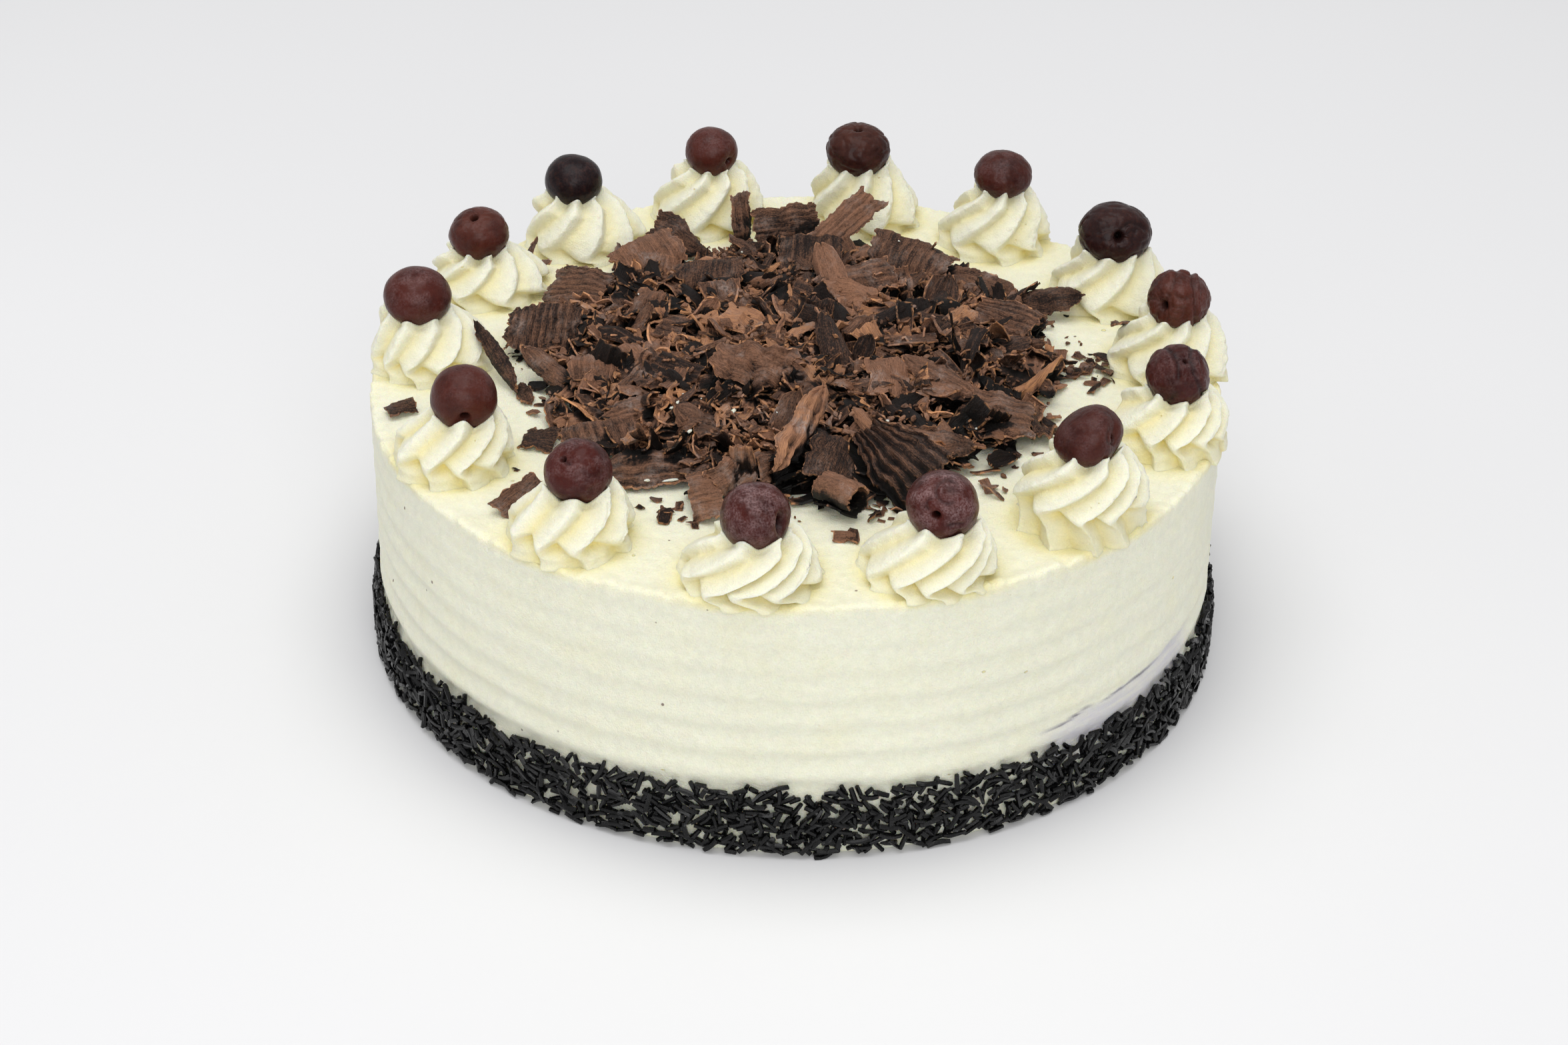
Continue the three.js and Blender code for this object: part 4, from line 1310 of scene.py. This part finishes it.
def makeMound():
    around, rows = heap['mound']
    foot = heap['moundFoot']
    ball, row, column, _ = addBall(around, rows)
    turn = column / around * 2 * math.pi
    within = np.where(row < foot, row / foot, np.clip((rows - row) / (rows - foot), 0, 1))
    share = within * heap['moundShare']
    radius = heapOutline(turn) * share
    x = radius * np.cos(turn)
    y = radius * np.sin(turn)
    flat = beside(x, y, np.zeros_like(x))
    top = heap['height'] * (1 - within**3) - 3.4
    top = top + 1.4 * lumps(flat, 7, 1.0) + 1.0 * lumps(flat, 3, 2.0) + 0.6 * lumps(flat, 1.3, 3.0)
    level = np.where(row <= foot, -0.2, np.maximum(top, 0.1))
    points = beside(x, y, cakeHeight + level)
    writePoints(ball, points)
    noteHeights(points)
    # a dark tone, a painted shade for the depths between the flakes above
    setMark(ball, 'tone', 0.15 * lumps(flat, 2.5, 5.0) - 0.5)
    setMark(ball, 'edge', np.clip(0.3 * lumps(flat, 1.5, 6.0), 0, 1))
    setMark(ball, 'grain', flat)
    shadeSmooth(ball, 50)
    finishPiece(ball, 'shavingMound', shavedChocolate, 'chocolate', 'chocolate_shavings')


def putFlake(spec, seed, cells, ground, lowest):
    sheet = cutFlake(spec, seed, cells, heap['thick'])
    matrix, position = layFlake(spec, ground)
    points = readPoints(sheet) @ matrix.T + position
    liftAbove(sheet, points, cakeHeight + lowest)
    return sheet, points


def makeLargeFlakes():
    for index, spec in enumerate(flakes + leaners):
        seed = 1.0 + 0.73 * index
        cells = (int(spec['size'][0] / heap['flakeCell'][0]), int(spec['size'][1] / heap['flakeCell'][1]))
        ground = spec.get('low', moundRise(*spec['at']) - heap['flakeSink'])
        sheet, points = putFlake(spec, seed, cells, ground, 0.1)
        noteHeights(points)
        setMark(sheet, 'tone', spec['tone'] - 0.08 + 0.22 * lumps(points, 4, seed))
        heapParts.append((sheet, points))
        shadeSmooth(sheet, 32)
        name = f'largeShaving{index + 1:02d}'
        finishPiece(sheet, name, shavedChocolate, 'chocolate', 'chocolate_shavings')
    for index, spec in enumerate(strays):
        sheet, points = putFlake(spec, 40.0 + index, (16, 10), 0.5, -0.1)
        setMark(sheet, 'tone', np.full(len(points), spec['tone']))
        shadeSmooth(sheet, 45)
        finishPiece(sheet, f'strayShaving{index + 1:02d}', shavedChocolate, 'chocolate', 'cake_body')


def flakePatterns(kinds, cells, thick):
    return [takeShape(cutFlake(spec, 60.0 + 1.3 * index, spec.get('cells', cells), thick))
            for index, spec in enumerate(kinds)]


def edgeLimit(angle):  # the heap thins out unevenly at its edge
    place = (math.cos(angle) * 6, math.sin(angle) * 6, 3.0)
    return 0.95 + 0.09 * noise.noise(place)


def pickSpot(chance, reach, limit, skipped, margin):  # a place in the heap, or None
    angle = chance.uniform(0, 2 * math.pi)
    share = math.sqrt(chance.random()) * reach
    if share > limit(angle) and chance.random() < skipped:
        return None
    radius = heapOutline(angle) * share
    x = radius * math.cos(angle)
    y = radius * math.sin(angle)
    return (x, y, share) if clearOfRosettes(x, y, margin) else None


def makeSmallFlakes(name, kinds, cells, thick, count, depth, lean, seed, tones):
    shapes = flakePatterns(kinds, cells, thick)
    chance = random.Random(seed)
    places = []
    while len(places) < count:
        spot = pickSpot(chance, 1.03, edgeLimit, 0.85, -0.5)
        if spot is None:
            continue
        x, y, share = spot
        index = chance.randrange(len(shapes))
        scale = chance.uniform(0.75, 1.4)
        flat = 0.35 if share > 0.93 else 1.0
        slope = chance.gauss(0, lean) * flat
        tilt = chance.gauss(0, lean) * flat
        if chance.random() < 0.5:
            tilt += 180
        matrix = turnMatrix(chance.uniform(0, 360), slope, tilt) * scale
        local = shapes[index][0] @ matrix.T
        surface = cakeHeight + moundRise(x, y) - chance.uniform(*depth)
        surface = max(surface, cakeHeight - local[:, 2].min() + 0.05)
        tone = chance.choice(tones) + chance.uniform(-0.1, 0.1)
        places.append((index, matrix, np.array([x, y, surface]), tone))
    for x, y, around, loose in (heap['scatter'] if name == 'smallChips' else ()):
        for _ in range(loose):
            index = chance.randrange(len(shapes))
            matrix = turnMatrix(chance.uniform(0, 360), chance.gauss(0, 8), chance.gauss(0, 8))
            matrix = matrix * chance.choice(heap['looseScales'])
            place = np.array([chance.gauss(x, around / 2), chance.gauss(y, around / 2), 0])
            local = shapes[index][0] @ matrix.T
            place[2] = cakeHeight - 0.3 - local[:, 2].min()
            if clearOfRosettes(place[0], place[1], 0.5):
                places.append((index, matrix, place, chance.choice(tones[1:5])))
    piece, points = joinCopies(name, shapes, places)
    liftAbove(piece, points, cakeHeight - 0.1)
    noteHeights(points)
    heapParts.append((piece, points))
    shadeSmooth(piece, 28)
    finishPiece(piece, name, shavedChocolate, 'chocolate', 'chocolate_shavings')


def makeCrumbs():
    shapes = []
    for index in range(5):
        deselectAll()
        bpy.ops.mesh.primitive_ico_sphere_add(subdivisions=1, radius=0.5 * mm)
        rock = bpy.context.object
        points = readPoints(rock)
        points = points * [1.5, 0.9, 0.6] * (1 + 0.5 * lumps(points, 0.5, index * 3.0))[:, None]
        writePoints(rock, points)
        setMark(rock, 'edge', np.full(len(points), 0.4))
        setMark(rock, 'grain', points)
        shapes.append(takeShape(rock))
    chance = random.Random(5)
    places = []
    while len(places) < heap['crumbCount']:
        spot = pickSpot(chance, 1.1, lambda angle: 0.98, 0.93, 0.5)
        if spot is None:
            continue
        x, y, _ = spot
        ground = heightAt(x, y)
        if ground > cakeHeight + moundRise(x, y) + 2.5:
            continue
        scale = chance.choice(heap['crumbScales'])
        matrix = turnMatrix(chance.uniform(0, 360), chance.uniform(-40, 40), chance.uniform(-40, 40)) * scale
        place = np.array([x, y, ground + 0.15 * scale])
        places.append((chance.randrange(len(shapes)), matrix, place, chance.uniform(0.0, 1)))
    piece, points = joinCopies('shavingCrumbs', shapes, places)
    liftAbove(piece, points, cakeHeight - 0.1)
    finishPiece(piece, 'shavingCrumbs', shavedChocolate, 'chocolate', 'chocolate_shavings')


def makeSpecks():  # bits of cream that fell into the heap
    shapes = []
    for index in range(3):
        ball, _, _, unit = addBall(8, 6)
        writePoints(ball, unit * [1.4, 0.9, 0.6] * (1 + 0.9 * lumps(unit, 0.7, index * 5.0))[:, None])
        shapes.append(takeShape(ball))
    chance = random.Random(41)
    places = []
    while len(places) < heap['speckCount']:
        x = chance.uniform(-68, 68)
        y = chance.uniform(-66, 72)
        if moundShare(x, y) > 0.95:
            continue
        matrix = turnMatrix(chance.uniform(0, 360), chance.uniform(-20, 20))
        matrix = matrix * chance.choice(heap['speckScales'])
        place = np.array([x, y, heightAt(x, y) + 0.1])
        places.append((chance.randrange(len(shapes)), matrix, place, 0.0))
    for x, y, stretch in heap['smears']:
        matrix = turnMatrix(14, 4) * [stretch, 0.5, 0.4]
        places.append((0, matrix, np.array([x, y, heightAt(x, y) + 0.1]), 0.0))
    piece, _ = joinCopies('creamSpecks', shapes, places)
    shadeSmooth(piece)
    finishPiece(piece, 'creamSpecks', coatCream, 'whipped_cream', 'cake_body')


broadKinds = [
    cut(13, 8, 'leaf', ribs=('along', 2.3, 0.8), across=80, cells=(8, 12)),
    cut(11, 8, ribs=('along', 2.0, 0.7), across=50, cells=(8, 12)),
    cut(15, 7, 'leaf', across=130),
    cut(12, 9, 'crumpled', across=70),
    cut(10, 8, ribs=('across', 2.2, 0.8), cells=(15, 6)),
    cut(14, 6, 'shell', ribs=('along', 1.8, 0.6), across=90, cells=(8, 11)),
    cut(9, 8, 'crumpled', across=110, twist=30),
    cut(16, 8, 'leaf', across=160, twist=24),
    cut(12, 6, 'shell', across=110, twist=30),
    cut(11, 7, 'leaf', along=70, across=90),
]
curledKinds = [
    cut(11, 5, 'leaf', across=150, twist=40),
    cut(10, 5, ribs=('along', 1.6, 0.5), along=60, cells=(8, 10)),
    cut(14, 4, 'splinter', across=130, twist=60, along=40),
    cut(8, 6, ribs=('across', 1.8, 0.6), cells=(13, 5)),
    cut(10, 5, 'crumpled', across=90),
    cut(9, 4, 'leaf', across=190),
    cut(15, 3.6, 'leaf', across=140, twist=50),
    cut(7, 6, 'crumpled', across=120),
    cut(12, 4.4, 'leaf', along=80, across=100),
    cut(8, 5, 'shell', across=90, twist=40),
    cut(17, 3.2, 'splinter', across=140, along=50, twist=60),
    cut(7, 5, 'leaf', across=100),
]
chipKinds = [
    cut(5.5, 3, across=110),
    cut(4.5, 3.2, 'leaf', across=140),
    cut(6.5, 2.4, 'splinter', across=100, along=60, twist=50),
    cut(4, 2.8, 'crumpled'),
    cut(6, 3.4, 'shell', across=90),
    cut(3.4, 2.4, across=60),
]
splinterKinds = [
    cut(8, 1.4, 'leaf', across=90, twist=60),
    cut(5, 1.1, 'splinter', across=90),
    cut(10, 1.5, 'leaf', across=110, along=60, twist=70),
    cut(4, 1.5, 'crumpled'),
]
darkTones = (-0.6, -0.35, -0.1, 0.1, 0.25, 0.45, 0.7, 1.05)
mixedTones = (-0.45, -0.15, 0.1, 0.3, 0.55, 0.9, 1.25)
curledTones = (-0.6, -0.3, 0.0, 0.2, 0.45, 0.75, 1.05)

makeMound()
makeLargeFlakes()
for name, kinds, cells, thick, count, depth, lean, seed, tones in (
    ('broadShavings', broadKinds, (13, 7), 0.42, heap['mediumCount'], (-1.7, 2.4), 22, 11, darkTones),
    ('curledShavings', curledKinds, (13, 6), 0.42, heap['mediumCount'], (-2.0, 2.4), 28, 21, curledTones),
    ('smallChips', chipKinds, (5, 3), 0.42, heap['chipCount'], (-0.9, 2.6), 28, 12, mixedTones),
    ('splinters', splinterKinds, (7, 2), 0.45, heap['splinterCount'], (-1.4, 1.4), 18, 13, mixedTones),
):
    makeSmallFlakes(name, kinds, cells, thick, count, depth, lean, seed, tones)
paintShadeInGaps()
makeCrumbs()
makeSpecks()
print("shavings heaped")


# the studio: floor, lights and camera

studio = {
    'floor': 6.0,
    'paper': ((0.755, 0.755, 0.765, 1), (0.78, 0.78, 0.79, 1)),
    'world': 0.575,
    # softboxes: name, place, size and power; they aim at the cake
    'lamps': (('topSoftbox', (-0.1, -0.1, 1.35), 1.2, 10.4), ('frontSoftbox', (0.1, -1.5, 0.95), 1.0, 9.2)),
    'aim': (0, 0, 0.05),
    'lensLength': 70.55,
    'place': (0.99, -724.44, 470.18),
    'pitch': 31.445,
    'yaw': -0.307,
    'roll': 0.946,
}


def standAt(thing, place, right, up, back):
    matrix = Matrix(beside(right, up, back).tolist()).to_4x4()
    matrix.translation = place
    thing.matrix_world = matrix


def makeStudio():
    deselectAll()
    bpy.ops.mesh.primitive_plane_add(size=studio['floor'])
    floor = bpy.context.object
    floor.name = 'studioFloor'
    finish, tree, shader, place = newFinish('floorPaper')
    soft = noiseOf(tree, place, 400, 2)
    colour = blendColours(tree, spread(tree, soft, 0.3, 0.7), *studio['paper'])
    plug(tree, colour, shader.inputs['Base Color'])
    shader.inputs['Roughness'].default_value = 0.9
    shader.inputs['Specular IOR Level'].default_value = 0.1
    floor.data.materials.append(finish)

    world = bpy.data.worlds.new('studioWorld')
    bpy.context.scene.world = world
    world.use_nodes = True
    background = world.node_tree.nodes['Background']
    background.inputs[0].default_value = (1.0, 1.0, 1.0, 1)
    background.inputs[1].default_value = studio['world']

    for name, place, size, power in studio['lamps']:
        lamp = bpy.data.lights.new(name, 'AREA')
        lamp.energy = power
        lamp.size = size
        back = unitOf(np.array(place) - np.array(studio['aim']))
        right = unitOf(np.cross((0, 1, 0.001), back))
        standAt(addObject(name, lamp), place, right, np.cross(back, right), back)

    pitch = math.radians(studio['pitch'])
    yaw = math.radians(studio['yaw'])
    roll = math.radians(studio['roll'])
    ahead = np.array([math.sin(yaw) * math.cos(pitch), math.cos(yaw) * math.cos(pitch), -math.sin(pitch)])
    right = unitOf(np.cross(ahead, (0, 0, 1)))
    up = np.cross(right, ahead)
    rolledRight = math.cos(roll) * right + math.sin(roll) * up
    rolledUp = -math.sin(roll) * right + math.cos(roll) * up
    lens = bpy.data.cameras.new('studioCamera')
    lens.lens = studio['lensLength']
    lens.sensor_width = 36
    lens.sensor_fit = 'HORIZONTAL'
    lens.clip_end = 20
    camera = addObject('studioCamera', lens)
    standAt(camera, np.array(studio['place']) * mm, rolledRight, rolledUp, -ahead)
    bpy.context.scene.camera = camera
    bpy.context.scene.view_settings.view_transform = 'Standard'


makeStudio()
print("studio set")

deselectAll()
